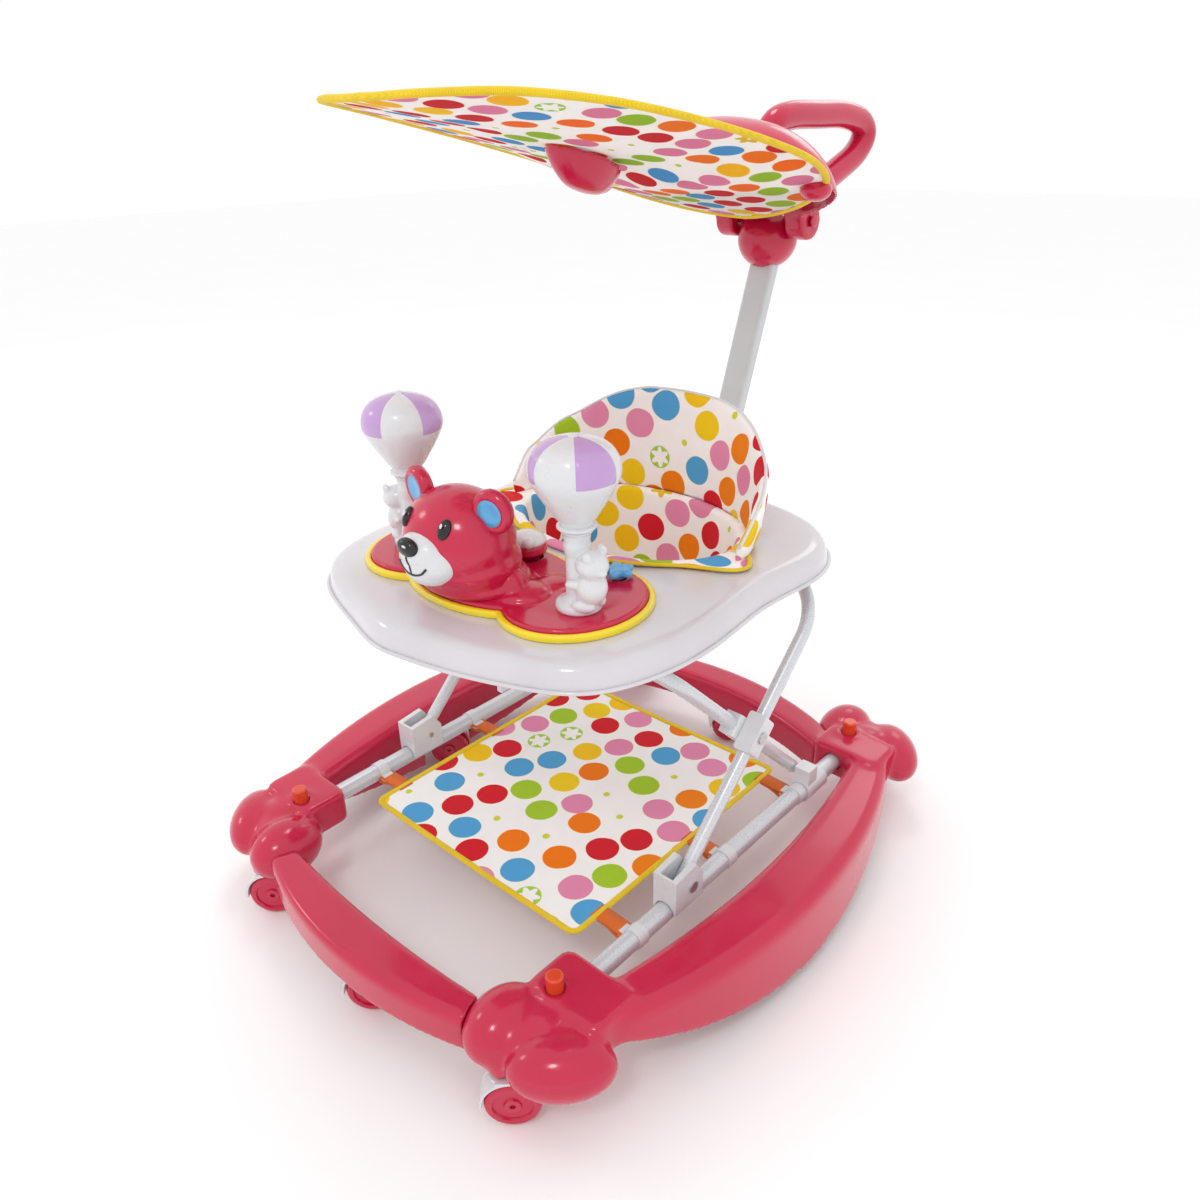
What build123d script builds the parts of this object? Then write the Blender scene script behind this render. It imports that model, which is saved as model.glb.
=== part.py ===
from build123d import *
import os
from math import cos, radians, sin, sqrt

# Baby walker. Millimetres, +Z up, +Y to the rear, the floor at Z = 0.
# Every shape is drawn about the middle of the wheeled base; a last shift puts
# the origin under the middle of the whole object, push handle included.
MIDDLE_Y = 105.6

# --- base ---
ROCKER_TOP = 115.0
ROCKER_LOW = 16.0
ROCKER_RADIUS = 600.0
BOW_OUT_RADIUS = 662.5
BOW_OUT_X = 345.0
BOW_IN_RADIUS = 1075.0
BOW_IN_X = 273.0
ROCKER_END_Y = 300.0
ROCKER_WALL = 5.0
ROCKER_HOLLOW_END_Y = 215.0
BLOCK_X = (192.0, 286.0)
BLOCK_Y = (235.0, 296.0)
BLOCK_Z = (75.0, 119.0)
FRONT_LOBE = (193.0, 326.5, 87.0)
FRONT_LOBE_HALF = 45.5
FRONT_LOBE_RADIUS = 35.0
CORNER_LOBE = (267.0, 323.5, 85.0)
CORNER_LOBE_HALF = 53.0
CORNER_LOBE_RADIUS = 31.0
SADDLE = (234.0, 307.0, 84.0)
SADDLE_HALF = 46.0
SADDLE_RADIUS = 33.0
RAIL_X = 223.0
RAIL_Z = 96.0
RAIL_RADIUS = 11.0
RAIL_WALL = 1.5
RAIL_END_Y = 262.0
BUTTON_X = 220.5
BUTTON_Y = 283.0
BUTTON_RADIUS = 9.0
BUTTON_TOP = 136.0
BUTTON_FOOT = 112.0
BUTTON_TRAVEL = 4.0
CROSS_TOP = 106.0
CROSS_WALL = 5.0

# --- casters ---
WHEEL_RADIUS = 28.0
WHEEL_WIDTH = 26.0
TRAIL = 10.0
CASTER_CEILING = 61.0
CASTER_SWEEP = 43.0
CASTER_WEB = 6.8
HOOD_GAP = 1.6
STEM_RADIUS = 4.0
STEM_TOP = 78.0
RUNNING_GAP = 0.05
HEADING = 42.7
CORNER_CASTER = (213.0, 352.0)
FRONT_CASTER = (0.0, -360.0)
REAR_CASTER = (0.0, 308.0)
SIDE_CASTER = (283.0, -15.0)

# --- folding legs ---
PIVOT_Z = 119.0
REAR_PIVOT_Y = 168.0
FRONT_PIN_Y = -88.0
LEG_ANGLE = 44.0
LEG_RADIUS = 8.0
LEG_WALL = 1.2
FRONT_LEG_X = 223.0
REAR_LEG_X = 203.0
BAR_Z = 384.0
FRONT_LEG_BEND = 78.0
REAR_LEG_BEND = 60.0
PIN_RADIUS = 4.0
FOLD_SPACE = 96.0

# --- tray ---
TRAY_TOP = 430.0
TRAY_RIM = 402.0
TRAY_HALF_X = 234.0
TRAY_HALF_Y = 270.0
TRAY_WALL = 7.0
SOCKET_NOTCH = (56.0, 259.0, 27.0)
WELL_Y = 85.0
WELL_RADII = (150.0, 100.0)
CONSOLE_LOBE = (107.0, -118.0)
CONSOLE_LOBE_RADII = (76.0, 85.0)
CONSOLE_MIDDLE_RADII = (112.0, 79.0)
CONSOLE_MIDDLE_Y = -129.0
CONSOLE_RIM_WIDTH = 7.0
CONSOLE_RIM_TOP = 438.0
DECK_TOP = 441.0
HEAD = (0.0, -172.0, 493.0)
HEAD_HALF_X = 60.0
HEAD_RADIUS = 51.8
EAR = (54.0, 38.0)
EAR_RADIUS = 20.0
EAR_DEPTH = 4.0
BALLOON_X = 127.0
BALLOON_Y = -134.0
BALLOON_Z = 567.0
BALLOON_RADIUS = 43.0
COLLAR_Z = 524.0
DRUM_Y = -80.0
FLOWER = (113.0, -60.0)

# --- seat ---
BACK_Y = 60.0
BACK_FOOT_RADII = (178.0, 140.0)
BACK_HEAD_RADII = (204.0, 150.0)
BACK_TOP = 566.0
BACK_THICKNESS = 9.0
BAG_FLOOR = 302.0
BAG_WALL = 5.0

# --- push bar and canopy ---
POST_LEAN = 20.0
POST_FOOT = (0.0, 249.9, 400.0)
POST_WIDTH = 35.0
POST_DEPTH = 18.0
POST_LENGTH = 318.0
HUB = (0.0, 362.0, 727.0)
HUB_HALF = 40.0
HUB_RADIUS = 36.0
KNUCKLE_Y = 358.0
KNUCKLE_Z = 750.0
KNUCKLE_IN = 38.0
KNUCKLE_WIDTH = 26.0
HANDLE_RADIUS = 17.0
CANOPY_SLOPE = -0.235
CANOPY_MIDDLE = (50.0, 816.0)
CANOPY_RISE = 33.4
CANOPY_STRIP_HALF = 200.0
CANOPY_THICKNESS = 4.0
HOOD_Y = 250.0
HOOD_Z = 773.0
HOOD_HALF_X = 162.0
HOOD_RADIUS = 93.0
HOOD_WALL = 4.0
KEEL_Y = 28.0
KEEL_HALF = 66.0
KEEL_RADIUS = 30.0
KEEL_DEPTH = 18.0

half_base = (REAR_PIVOT_Y - FRONT_PIN_Y) / 2
leg_lower = half_base / cos(radians(LEG_ANGLE))
cross_y = REAR_PIVOT_Y - half_base
cross_z = PIVOT_Z + leg_lower * sin(radians(LEG_ANGLE))
leg_upper = (BAR_Z - cross_z) / sin(radians(LEG_ANGLE))
leg_length = leg_lower + leg_upper
rear_bar_y = cross_y + leg_upper * cos(radians(LEG_ANGLE))
front_bar_y = cross_y - leg_upper * cos(radians(LEG_ANGLE))

os.makedirs("parts", exist_ok=True)


def save(piece, name):
    """Shift a finished piece to the common origin and write it."""
    part = Pos(0, -MIDDLE_Y, 0) * piece.part
    part.label = name
    export_step(part, f"parts/{name}.step")


def save_mirrored(piece, left, right):
    """Write a right-hand piece and its left-hand twin."""
    with BuildPart() as twin:
        mirror(piece.part, about=Plane.YZ)
    save(piece, right)
    save(twin, left)


def egg(centre, along, half_length, radius, blunt=0.998):
    """An egg-shaped solid about an axis, its two tips cut off flat."""
    side = Vector(*along).cross(Vector(0, 0, 1))
    plane = Plane(origin=centre, x_dir=along, z_dir=side)
    with BuildPart() as body:
        with BuildSketch(plane):
            Ellipse(half_length, radius)
            with Locations((0, radius)):
                Rectangle(2 * blunt * half_length, 2 * radius, mode=Mode.INTERSECT)
        revolve(axis=Axis(centre, along))
    return body.part


def arc_x(apex, radius, y):
    """X of a bow of the given radius whose apex lies at Y = 0."""
    return apex - radius + sqrt(radius**2 - y**2)


def bow_outline(inset, end_y):
    """Plan outline of a rocker: two bows closed by straight ends."""
    outer = (BOW_OUT_X - inset, BOW_OUT_RADIUS - inset)
    inner = (BOW_IN_X + inset, BOW_IN_RADIUS + inset)
    outer_end = arc_x(outer[0], outer[1], end_y)
    inner_end = arc_x(inner[0], inner[1], end_y)
    ThreePointArc((outer_end, -end_y), (outer[0], 0), (outer_end, end_y))
    Line((outer_end, end_y), (inner_end, end_y))
    ThreePointArc((inner_end, end_y), (inner[0], 0), (inner_end, -end_y))
    Line((inner_end, -end_y), (outer_end, -end_y))


def rocker():
    """Right-hand rocker with its corner housings, lobes and caster seats."""
    diagonal = (1, 1, 0)
    lobes = []
    for end in (-1, 1):
        nose = (FRONT_LOBE[0], end * FRONT_LOBE[1], FRONT_LOBE[2])
        corner = (CORNER_LOBE[0], end * CORNER_LOBE[1], CORNER_LOBE[2])
        lobes.append(egg(nose, (0, 1, 0), FRONT_LOBE_HALF, FRONT_LOBE_RADIUS))
        turn = (diagonal[0], -end * diagonal[1], 0)
        lobes.append(egg(corner, turn, CORNER_LOBE_HALF, CORNER_LOBE_RADIUS))
        saddle = (SADDLE[0], end * SADDLE[1], SADDLE[2])
        lobes.append(egg(saddle, (1, 0, 0), SADDLE_HALF, SADDLE_RADIUS))
    rise = ROCKER_RADIUS - sqrt(ROCKER_RADIUS**2 - ROCKER_END_Y**2)
    block_middle = ((BLOCK_X[0] + BLOCK_X[1]) / 2, (BLOCK_Y[0] + BLOCK_Y[1]) / 2)
    block_size = (BLOCK_X[1] - BLOCK_X[0], BLOCK_Y[1] - BLOCK_Y[0])
    seats = [(CORNER_CASTER[0], end * CORNER_CASTER[1]) for end in (-1, 1)]
    with BuildPart() as piece:
        # bowed beam with rounded upper edges
        with BuildSketch():
            with BuildLine():
                bow_outline(0, ROCKER_END_Y)
            make_face()
        extrude(amount=ROCKER_TOP)
        fillet(piece.edges().group_by(Axis.Z)[-1], radius=14)
        # curved running surface under the beam
        with BuildSketch(Plane.YZ):
            with BuildLine():
                ThreePointArc(
                    (-ROCKER_END_Y, ROCKER_LOW + rise),
                    (0, ROCKER_LOW),
                    (ROCKER_END_Y, ROCKER_LOW + rise),
                )
                Polyline(
                    (ROCKER_END_Y, ROCKER_LOW + rise),
                    (ROCKER_END_Y, ROCKER_TOP + 1),
                    (-ROCKER_END_Y, ROCKER_TOP + 1),
                    (-ROCKER_END_Y, ROCKER_LOW + rise),
                )
            make_face()
        extrude(amount=BOW_OUT_X + 1, mode=Mode.INTERSECT)
        # hollow, open below
        with BuildSketch():
            with BuildLine():
                bow_outline(ROCKER_WALL, ROCKER_HOLLOW_END_Y)
            make_face()
        extrude(amount=ROCKER_TOP - ROCKER_WALL, mode=Mode.SUBTRACT)
        # corner housings and lobes
        for end in (-1, 1):
            with BuildSketch(Plane.XY.offset(BLOCK_Z[0])):
                with Locations((block_middle[0], end * block_middle[1])):
                    RectangleRounded(block_size[0], block_size[1], 12)
            extrude(amount=BLOCK_Z[1] - BLOCK_Z[0])
        add(lobes)
        # raised ring round each button
        with BuildSketch(Plane.XY.offset(BLOCK_Z[1] - 2)):
            with Locations((BUTTON_X, -BUTTON_Y), (BUTTON_X, BUTTON_Y)):
                Circle(BUTTON_RADIUS + 6)
        extrude(amount=5)
        # room for the casters to swivel
        with BuildSketch():
            with Locations(*seats, SIDE_CASTER):
                Circle(CASTER_SWEEP)
        extrude(amount=CASTER_CEILING, mode=Mode.SUBTRACT)
        # caster bosses and stem holes
        with BuildSketch(Plane.XY.offset(CASTER_CEILING)):
            with Locations(*seats, SIDE_CASTER):
                Circle(12)
        extrude(amount=STEM_TOP + 6 - CASTER_CEILING)
        with BuildSketch():
            with Locations(*seats, SIDE_CASTER):
                Circle(STEM_RADIUS + RUNNING_GAP)
        extrude(amount=STEM_TOP + 1, mode=Mode.SUBTRACT)
        # rail sockets
        with BuildSketch(Plane.XZ.offset(-RAIL_END_Y)):
            with Locations((RAIL_X, RAIL_Z)):
                Circle(RAIL_RADIUS)
        extrude(amount=2 * RAIL_END_Y, mode=Mode.SUBTRACT)
        # button wells
        with BuildSketch(Plane.XY.offset(BUTTON_FOOT - BUTTON_TRAVEL - 1)):
            with Locations((BUTTON_X, -BUTTON_Y), (BUTTON_X, BUTTON_Y)):
                Circle(BUTTON_RADIUS + 0.3)
        extrude(amount=30, mode=Mode.SUBTRACT)
    return piece


def bow_y(ends, apex, half, x):
    """Y at x of a bow through (-half, ends), (0, apex) and (half, ends)."""
    sag = apex - ends
    radius = (half**2 + sag**2) / (2 * sag)
    return apex - radius + sqrt(radius**2 - x**2)


def bow_band(end, reach, outer, inner):
    """Plan outline between two bows, closed by straight ends at X = +-reach."""
    ThreePointArc((-reach, end * outer[0]), (0, end * outer[1]), (reach, end * outer[0]))
    Line((reach, end * outer[0]), (reach, end * inner[0]))
    ThreePointArc((reach, end * inner[0]), (0, end * inner[1]), (-reach, end * inner[0]))
    Line((-reach, end * inner[0]), (-reach, end * outer[0]))


def cross_member(end, half, outer, inner, caster):
    """Beam between two corner lobes, hollow below, arched over its caster."""
    reach = 140.0
    hollow_outer = (bow_y(*outer, half, reach) - CROSS_WALL, outer[1] - CROSS_WALL)
    hollow_inner = (bow_y(*inner, half, reach) + CROSS_WALL, inner[1] + CROSS_WALL)
    with BuildPart() as piece:
        with BuildSketch(Plane.XY.offset(CASTER_CEILING)):
            with BuildLine():
                bow_band(end, half, outer, inner)
            make_face()
        extrude(amount=CROSS_TOP - CASTER_CEILING)
        fillet(piece.edges().group_by(Axis.Z)[-1].filter_by(GeomType.CIRCLE), radius=9)
        with BuildSketch(Plane.XY.offset(CASTER_CEILING)):
            with BuildLine():
                bow_band(end, reach, hollow_outer, hollow_inner)
            make_face()
        extrude(amount=CROSS_TOP - CASTER_CEILING - 7, mode=Mode.SUBTRACT)
        with BuildSketch(Plane.XY.offset(CASTER_CEILING)):
            with Locations(caster):
                Circle(11)
        extrude(amount=CROSS_TOP - CASTER_CEILING - 3)
        with BuildSketch(Plane.XY.offset(CASTER_CEILING)):
            with Locations(caster):
                Circle(STEM_RADIUS + RUNNING_GAP)
        extrude(amount=STEM_TOP + 1 - CASTER_CEILING, mode=Mode.SUBTRACT)
        for side in (-1, 1):
            lobe = (side * FRONT_LOBE[0], end * FRONT_LOBE[1], FRONT_LOBE[2])
            add(egg(lobe, (0, 1, 0), FRONT_LOBE_HALF, FRONT_LOBE_RADIUS), mode=Mode.SUBTRACT)
    return piece


def rail():
    """Right-hand side rail: a straight steel tube."""
    with BuildPart() as piece:
        with BuildSketch(Plane.XZ.offset(-RAIL_END_Y)):
            with Locations((RAIL_X, RAIL_Z)):
                Circle(RAIL_RADIUS)
                Circle(RAIL_RADIUS - RAIL_WALL, mode=Mode.SUBTRACT)
        extrude(amount=2 * RAIL_END_Y)
    return piece


def button():
    """Push button standing in a corner housing."""
    with BuildPart() as piece:
        with BuildSketch(Plane.XY.offset(BUTTON_FOOT)):
            Circle(BUTTON_RADIUS)
        extrude(amount=BUTTON_TOP - BUTTON_FOOT)
        fillet(piece.edges().group_by(Axis.Z)[-1], radius=2.5)
    return piece


def caster_frame():
    """Swivel frame about the origin: stem, plate, web, hood and axle seat."""
    half = WHEEL_WIDTH / 2
    hood_in = WHEEL_RADIUS + HOOD_GAP
    hood_out = hood_in + 2.6
    plate = hood_out + WHEEL_RADIUS - 3.5
    with BuildPart() as piece:
        Cylinder(STEM_RADIUS, STEM_TOP - plate, align=(Align.CENTER, Align.CENTER, Align.MIN))
        piece.part.move(Location((0, 0, plate)))
        with BuildSketch(Plane.XY.offset(plate)):
            Circle(11)
            with Locations((TRAIL / 2, 0)):
                Rectangle(TRAIL + 10, WHEEL_WIDTH)
        extrude(amount=CASTER_CEILING - 0.5 - plate)
        # curved hood over the leading side of the wheel
        with BuildSketch(Plane.XZ.offset(-half)):
            with Locations((TRAIL, WHEEL_RADIUS)):
                Circle(hood_out)
            with Locations((TRAIL + hood_out, WHEEL_RADIUS)):
                Rectangle(2 * hood_out, 4 * hood_out, mode=Mode.SUBTRACT)
            with Locations((TRAIL - hood_out, WHEEL_RADIUS - hood_out - 2)):
                Rectangle(2 * hood_out, 2 * hood_out, mode=Mode.SUBTRACT)
        extrude(amount=WHEEL_WIDTH)
        # web between the two discs of the wheel
        with BuildSketch(Plane.XZ.offset(-CASTER_WEB / 2)):
            with Locations((TRAIL, WHEEL_RADIUS)):
                Circle(9)
        extrude(amount=CASTER_WEB)
        for start in (-half - 1, CASTER_WEB / 2):
            with BuildSketch(Plane.XZ.offset(start)):
                with Locations((TRAIL, WHEEL_RADIUS)):
                    Circle(hood_in)
            extrude(amount=half + 1 - CASTER_WEB / 2, mode=Mode.SUBTRACT)
        with BuildSketch(Plane.XZ.offset(-half)):
            with Locations((TRAIL, WHEEL_RADIUS)):
                Circle(3 + RUNNING_GAP)
        extrude(amount=WHEEL_WIDTH, mode=Mode.SUBTRACT)
    return piece


def caster_wheel():
    """Twin wheel: two dished discs on one axle, with a groove for the web."""
    half = WHEEL_WIDTH / 2
    groove = CASTER_WEB / 2 + 0.5
    shoulder = (WHEEL_RADIUS - 1.4, half - 1.4)
    with BuildPart() as piece:
        with BuildSketch(Plane.XY):
            with BuildLine():
                Polyline((0, half - 3), (3, half - 3), (3, half), (8, half), (9, half - 2), (19, half - 2))
                Polyline((19, half - 2), (20, half), (WHEEL_RADIUS - 4, half))
                ThreePointArc((WHEEL_RADIUS - 4, half), shoulder, (WHEEL_RADIUS, half - 4))
                Polyline((WHEEL_RADIUS, half - 4), (WHEEL_RADIUS, groove), (3, groove), (3, 0), (0, 0))
                Line((0, 0), (0, half - 3))
            make_face()
        revolve(axis=Axis.Y)
        mirror(about=Plane.XZ)
    return piece


def rear_tees():
    """T pieces clamped on the rails, with the pivots of the rear leg frame."""
    with BuildPart() as piece:
        for side in (-1, 1):
            with BuildSketch(Plane.XZ.offset(-200)):
                with Locations((side * RAIL_X, RAIL_Z)):
                    Circle(15)
                    Circle(RAIL_RADIUS, mode=Mode.SUBTRACT)
            extrude(amount=44)
            with BuildSketch(Plane.XZ.offset(-REAR_PIVOT_Y - 10)):
                with Locations((side * (RAIL_X + 0.5), PIVOT_Z - 4)):
                    Rectangle(21, 26)
                with Locations((side * RAIL_X, RAIL_Z)):
                    Circle(RAIL_RADIUS, mode=Mode.SUBTRACT)
            extrude(amount=20)
            with BuildSketch(Plane.YZ.offset(side * REAR_LEG_X)):
                with Locations((REAR_PIVOT_Y, PIVOT_Z)):
                    Circle(PIN_RADIUS)
            extrude(amount=12, both=True)
            with BuildSketch(Plane.YZ.offset(side * (REAR_LEG_X - 10.5))):
                with Locations((REAR_PIVOT_Y, PIVOT_Z)):
                    Circle(7)
            extrude(amount=1.6, both=True)
    return piece


def leg_frame(foot_y, toward, spread, bend):
    """Bent tube: two sides and a top bar, with round ends bored for pins."""
    lean = radians(LEG_ANGLE)
    up = (0, toward * cos(lean), sin(lean))
    normal = Vector(1, 0, 0).cross(Vector(*up))
    plane = Plane(origin=(0, foot_y, PIVOT_Z), x_dir=(1, 0, 0), z_dir=normal)
    with BuildPart() as piece:
        with BuildLine(plane) as path:
            FilletPolyline(
                (spread, 0),
                (spread, leg_length),
                (-spread, leg_length),
                (-spread, 0),
                radius=bend,
            )
        with BuildSketch(Plane(origin=path.line @ 0, z_dir=path.line % 0)):
            Circle(LEG_RADIUS)
            Circle(LEG_RADIUS - LEG_WALL, mode=Mode.SUBTRACT)
        sweep(path=path.line)
        for x in (-spread, spread):
            add(egg((x, foot_y, PIVOT_Z), (1, 0, 0), LEG_RADIUS + 0.3, LEG_RADIUS + 0.3, 0.9))
        with Locations((spread, cross_y, cross_z), (-spread, cross_y, cross_z)):
            Cylinder(PIN_RADIUS + 1.5, LEG_RADIUS + 3, rotation=(0, 90, 0))
        with BuildSketch(Plane.YZ.offset(-spread - LEG_RADIUS - 1)):
            with Locations((foot_y, PIVOT_Z), (cross_y, cross_z)):
                Circle(PIN_RADIUS + RUNNING_GAP)
        extrude(amount=2 * (spread + LEG_RADIUS + 1), mode=Mode.SUBTRACT)
    return piece


def crossing_piece(toward, spread, x_low, x_high, pin_bore):
    """Plastic block clamped on each side of a leg frame at the crossing."""
    lean = radians(LEG_ANGLE)
    up = (0, toward * cos(lean), sin(lean))
    normal = Vector(1, 0, 0).cross(Vector(*up))
    plane = Plane(origin=(0, cross_y, cross_z), x_dir=(1, 0, 0), z_dir=normal)
    with BuildPart() as piece:
        for side in (-1, 1):
            with BuildSketch(plane.offset(-13)):
                with Locations((side * (x_low + x_high) / 2, 0)):
                    RectangleRounded(x_high - x_low, 46, 3)
            extrude(amount=26)
        along = Plane(origin=(0, cross_y, cross_z), x_dir=(1, 0, 0), z_dir=up)
        with BuildSketch(along.offset(-30)):
            with Locations((spread, 0), (-spread, 0)):
                Circle(LEG_RADIUS)
        extrude(amount=60, mode=Mode.SUBTRACT)
        with BuildSketch(Plane.YZ.offset(-x_high - 1)):
            with Locations((cross_y, cross_z)):
                Circle(pin_bore)
        extrude(amount=2 * x_high + 2, mode=Mode.SUBTRACT)
    return piece


def crossing_pins():
    """Pins through both leg frames at the crossing."""
    with BuildPart() as piece:
        for side in (-1, 1):
            with BuildSketch(Plane.YZ.offset(side * 190)):
                with Locations((cross_y, cross_z)):
                    Circle(PIN_RADIUS)
            extrude(amount=side * 46)
            with BuildSketch(Plane.YZ.offset(side * 234.6)):
                with Locations((cross_y, cross_z)):
                    Circle(7)
            extrude(amount=side * 2)
    return piece


def leg_brackets():
    """Saddles that ride on the rails and hold the feet of the front leg frame."""
    half = 15.5
    low, high = -30.0, 18.0
    with BuildPart() as piece:
        for side in (-1, 1):
            with BuildSketch(Plane.YZ.offset(side * (RAIL_X - half))):
                with BuildLine():
                    Polyline(
                        (FRONT_PIN_Y + low, RAIL_Z + 1),
                        (FRONT_PIN_Y + high, RAIL_Z + 1),
                        (FRONT_PIN_Y + high, 128),
                        (FRONT_PIN_Y + 6, 146),
                        (FRONT_PIN_Y + low, 142),
                        close=True,
                    )
                make_face()
            extrude(amount=side * 2 * half)
            with BuildSketch(Plane.YZ.offset(side * (RAIL_X - LEG_RADIUS - 0.5))):
                with Locations((FRONT_PIN_Y + 8, PIVOT_Z + 21)):
                    Rectangle(70, 60)
            extrude(amount=side * (2 * LEG_RADIUS + 1), mode=Mode.SUBTRACT)
            with BuildSketch(Plane.XZ.offset(-FRONT_PIN_Y - 40)):
                with Locations((side * RAIL_X, RAIL_Z)):
                    Circle(RAIL_RADIUS + 1.8)
            extrude(amount=80, mode=Mode.SUBTRACT)
            with BuildSketch(Plane.YZ.offset(side * (RAIL_X - half - 1))):
                with Locations((FRONT_PIN_Y, PIVOT_Z)):
                    Circle(PIN_RADIUS)
            extrude(amount=side * (2 * half + 2), mode=Mode.SUBTRACT)
    return piece


def bracket_pins():
    """Pins through the brackets and the feet of the front leg frame."""
    with BuildPart() as piece:
        for side in (-1, 1):
            with BuildSketch(Plane.YZ.offset(side * (RAIL_X - 15.5))):
                with Locations((FRONT_PIN_Y, PIVOT_Z)):
                    Circle(PIN_RADIUS)
            extrude(amount=side * 31)
            with BuildSketch(Plane.YZ.offset(side * (RAIL_X + 15.5))):
                with Locations((FRONT_PIN_Y, PIVOT_Z)):
                    Circle(6.5)
            extrude(amount=side * 2)
    return piece


def tray_outline(inset):
    """Smooth closed outline of the tray, shrunk or grown by an inset."""
    across = 1 - inset / TRAY_HALF_X
    along = 1 - inset / TRAY_HALF_Y
    right = [
        (70, -258),
        (140, -236),
        (196, -204),
        (224, -152),
        (TRAY_HALF_X, -90),
        (229, -8),
        (225, 44),
        (228, 90),
        (230, 132),
        (217, 184),
        (180, 226),
        (100, 257),
    ]
    left = [(-x, y) for x, y in reversed(right)]
    points = [(0, -TRAY_HALF_Y)] + right + [(0, TRAY_HALF_Y - 4)] + left
    Spline(*[(x * across, y * along) for x, y in points], periodic=True)


def tray_shell():
    """Moulded tray, open below, with a lip and the seat well."""
    lip = 2.5
    shoulder = 17.0
    with BuildPart() as piece:
        with BuildSketch(Plane.XY.offset(TRAY_RIM)):
            with BuildLine():
                tray_outline(0)
            make_face()
        extrude(amount=TRAY_TOP - TRAY_RIM)
        fillet(piece.edges().group_by(Axis.Z)[-1], radius=shoulder)
        with BuildSketch(Plane.XY.offset(TRAY_RIM)):
            with BuildLine():
                tray_outline(-lip)
            make_face()
        extrude(amount=4)
        with BuildSketch(Plane.XY.offset(TRAY_RIM)):
            with BuildLine():
                tray_outline(TRAY_WALL)
            make_face()
        extrude(amount=TRAY_TOP - TRAY_RIM - 6, mode=Mode.SUBTRACT)
        with BuildSketch(Plane.XY.offset(TRAY_RIM)):
            with Locations((0, WELL_Y)):
                Ellipse(*WELL_RADII)
        extrude(amount=TRAY_TOP - TRAY_RIM + 1, mode=Mode.SUBTRACT)
        # room for the push bar's socket
        with BuildSketch(Plane.XY.offset(TRAY_RIM - 1)):
            with Locations((0, SOCKET_NOTCH[1])):
                Rectangle(SOCKET_NOTCH[0], 2 * SOCKET_NOTCH[2])
        extrude(amount=60, mode=Mode.SUBTRACT)
    return piece


def hinge_clips():
    """Closed clips under the tray, round the top bar of the front leg frame."""
    with BuildPart() as piece:
        for x in (-80, 80):
            with BuildSketch(Plane.YZ.offset(x - 11)):
                with Locations((rear_bar_y, (BAR_Z - 12 + TRAY_TOP - 6) / 2)):
                    Rectangle(25, TRAY_TOP - 6 - BAR_Z + 12)
                with Locations((rear_bar_y, BAR_Z)):
                    Circle(LEG_RADIUS + RUNNING_GAP, mode=Mode.SUBTRACT)
            extrude(amount=22)
    return piece


def height_racks():
    """Slotted plates under the tray, in which the front top bar slides."""
    slot_middle = front_bar_y - FOLD_SPACE / 2
    with BuildPart() as piece:
        for x in (-95, 95):
            with BuildSketch(Plane.YZ.offset(x - 3)):
                with Locations((slot_middle, (BAR_Z - 14 + TRAY_TOP - 6) / 2)):
                    Rectangle(FOLD_SPACE + 28, TRAY_TOP - 6 - BAR_Z + 14)
                with Locations((slot_middle, BAR_Z)):
                    SlotCenterToCenter(FOLD_SPACE + 2, 2 * LEG_RADIUS + 0.8, mode=Mode.SUBTRACT)
            extrude(amount=6)
    return piece


def console_outline(inset):
    """Two round lobes joined by a middle oval."""
    across, along = CONSOLE_LOBE_RADII
    middle_across, middle_along = CONSOLE_MIDDLE_RADII
    with Locations(CONSOLE_LOBE, (-CONSOLE_LOBE[0], CONSOLE_LOBE[1])):
        Ellipse(across - inset, along - inset)
    with Locations((0, CONSOLE_MIDDLE_Y)):
        Ellipse(middle_across - inset, middle_along - inset)


def console_rim():
    """Yellow rim round the console."""
    with BuildPart() as piece:
        with BuildSketch(Plane.XY.offset(TRAY_TOP)):
            console_outline(0)
        extrude(amount=CONSOLE_RIM_TOP - TRAY_TOP)
        fillet(piece.edges().group_by(Axis.Z)[-1], radius=2)
        with BuildSketch(Plane.XY.offset(TRAY_TOP)):
            console_outline(CONSOLE_RIM_WIDTH)
        extrude(amount=20, mode=Mode.SUBTRACT)
    return piece


def console_deck():
    """Raised deck inside the rim, bored for the two push buttons."""
    with BuildPart() as piece:
        with BuildSketch(Plane.XY.offset(TRAY_TOP)):
            console_outline(CONSOLE_RIM_WIDTH)
        extrude(amount=DECK_TOP - TRAY_TOP)
        fillet(piece.edges().group_by(Axis.Z)[-1], radius=2)
        with BuildSketch(Plane.XY.offset(TRAY_TOP + 1)):
            with Locations((0, DRUM_Y)):
                Circle(16.4)
            with Locations(FLOWER):
                Circle(8.4)
        extrude(amount=20, mode=Mode.SUBTRACT)
    return piece


def ear_places():
    """Centres of the two ears in the plane of the face."""
    return [(side * EAR[0], HEAD[2] + EAR[1]) for side in (-1, 1)]


def bear_head():
    """Head with two round ears, on a broad neck."""
    skull = egg(HEAD, (1, 0, 0), HEAD_HALF_X, HEAD_RADIUS)
    with BuildPart() as piece:
        add(skull)
        with Locations(Plane.XZ.offset(-(HEAD[1] + EAR_DEPTH))):
            with Locations(*ear_places()):
                Cylinder(EAR_RADIUS, 16)
        with BuildSketch(Plane.XY.offset(DECK_TOP)):
            with Locations((HEAD[0], HEAD[1])):
                Circle(30)
        extrude(amount=HEAD[2] - DECK_TOP)
        # linings are let into the front of the ears
        with BuildSketch(Plane.XZ.offset(-(HEAD[1] + EAR_DEPTH - 8))):
            with Locations(*ear_places()):
                Circle(12)
        extrude(amount=-2, mode=Mode.SUBTRACT)
    return piece


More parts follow.
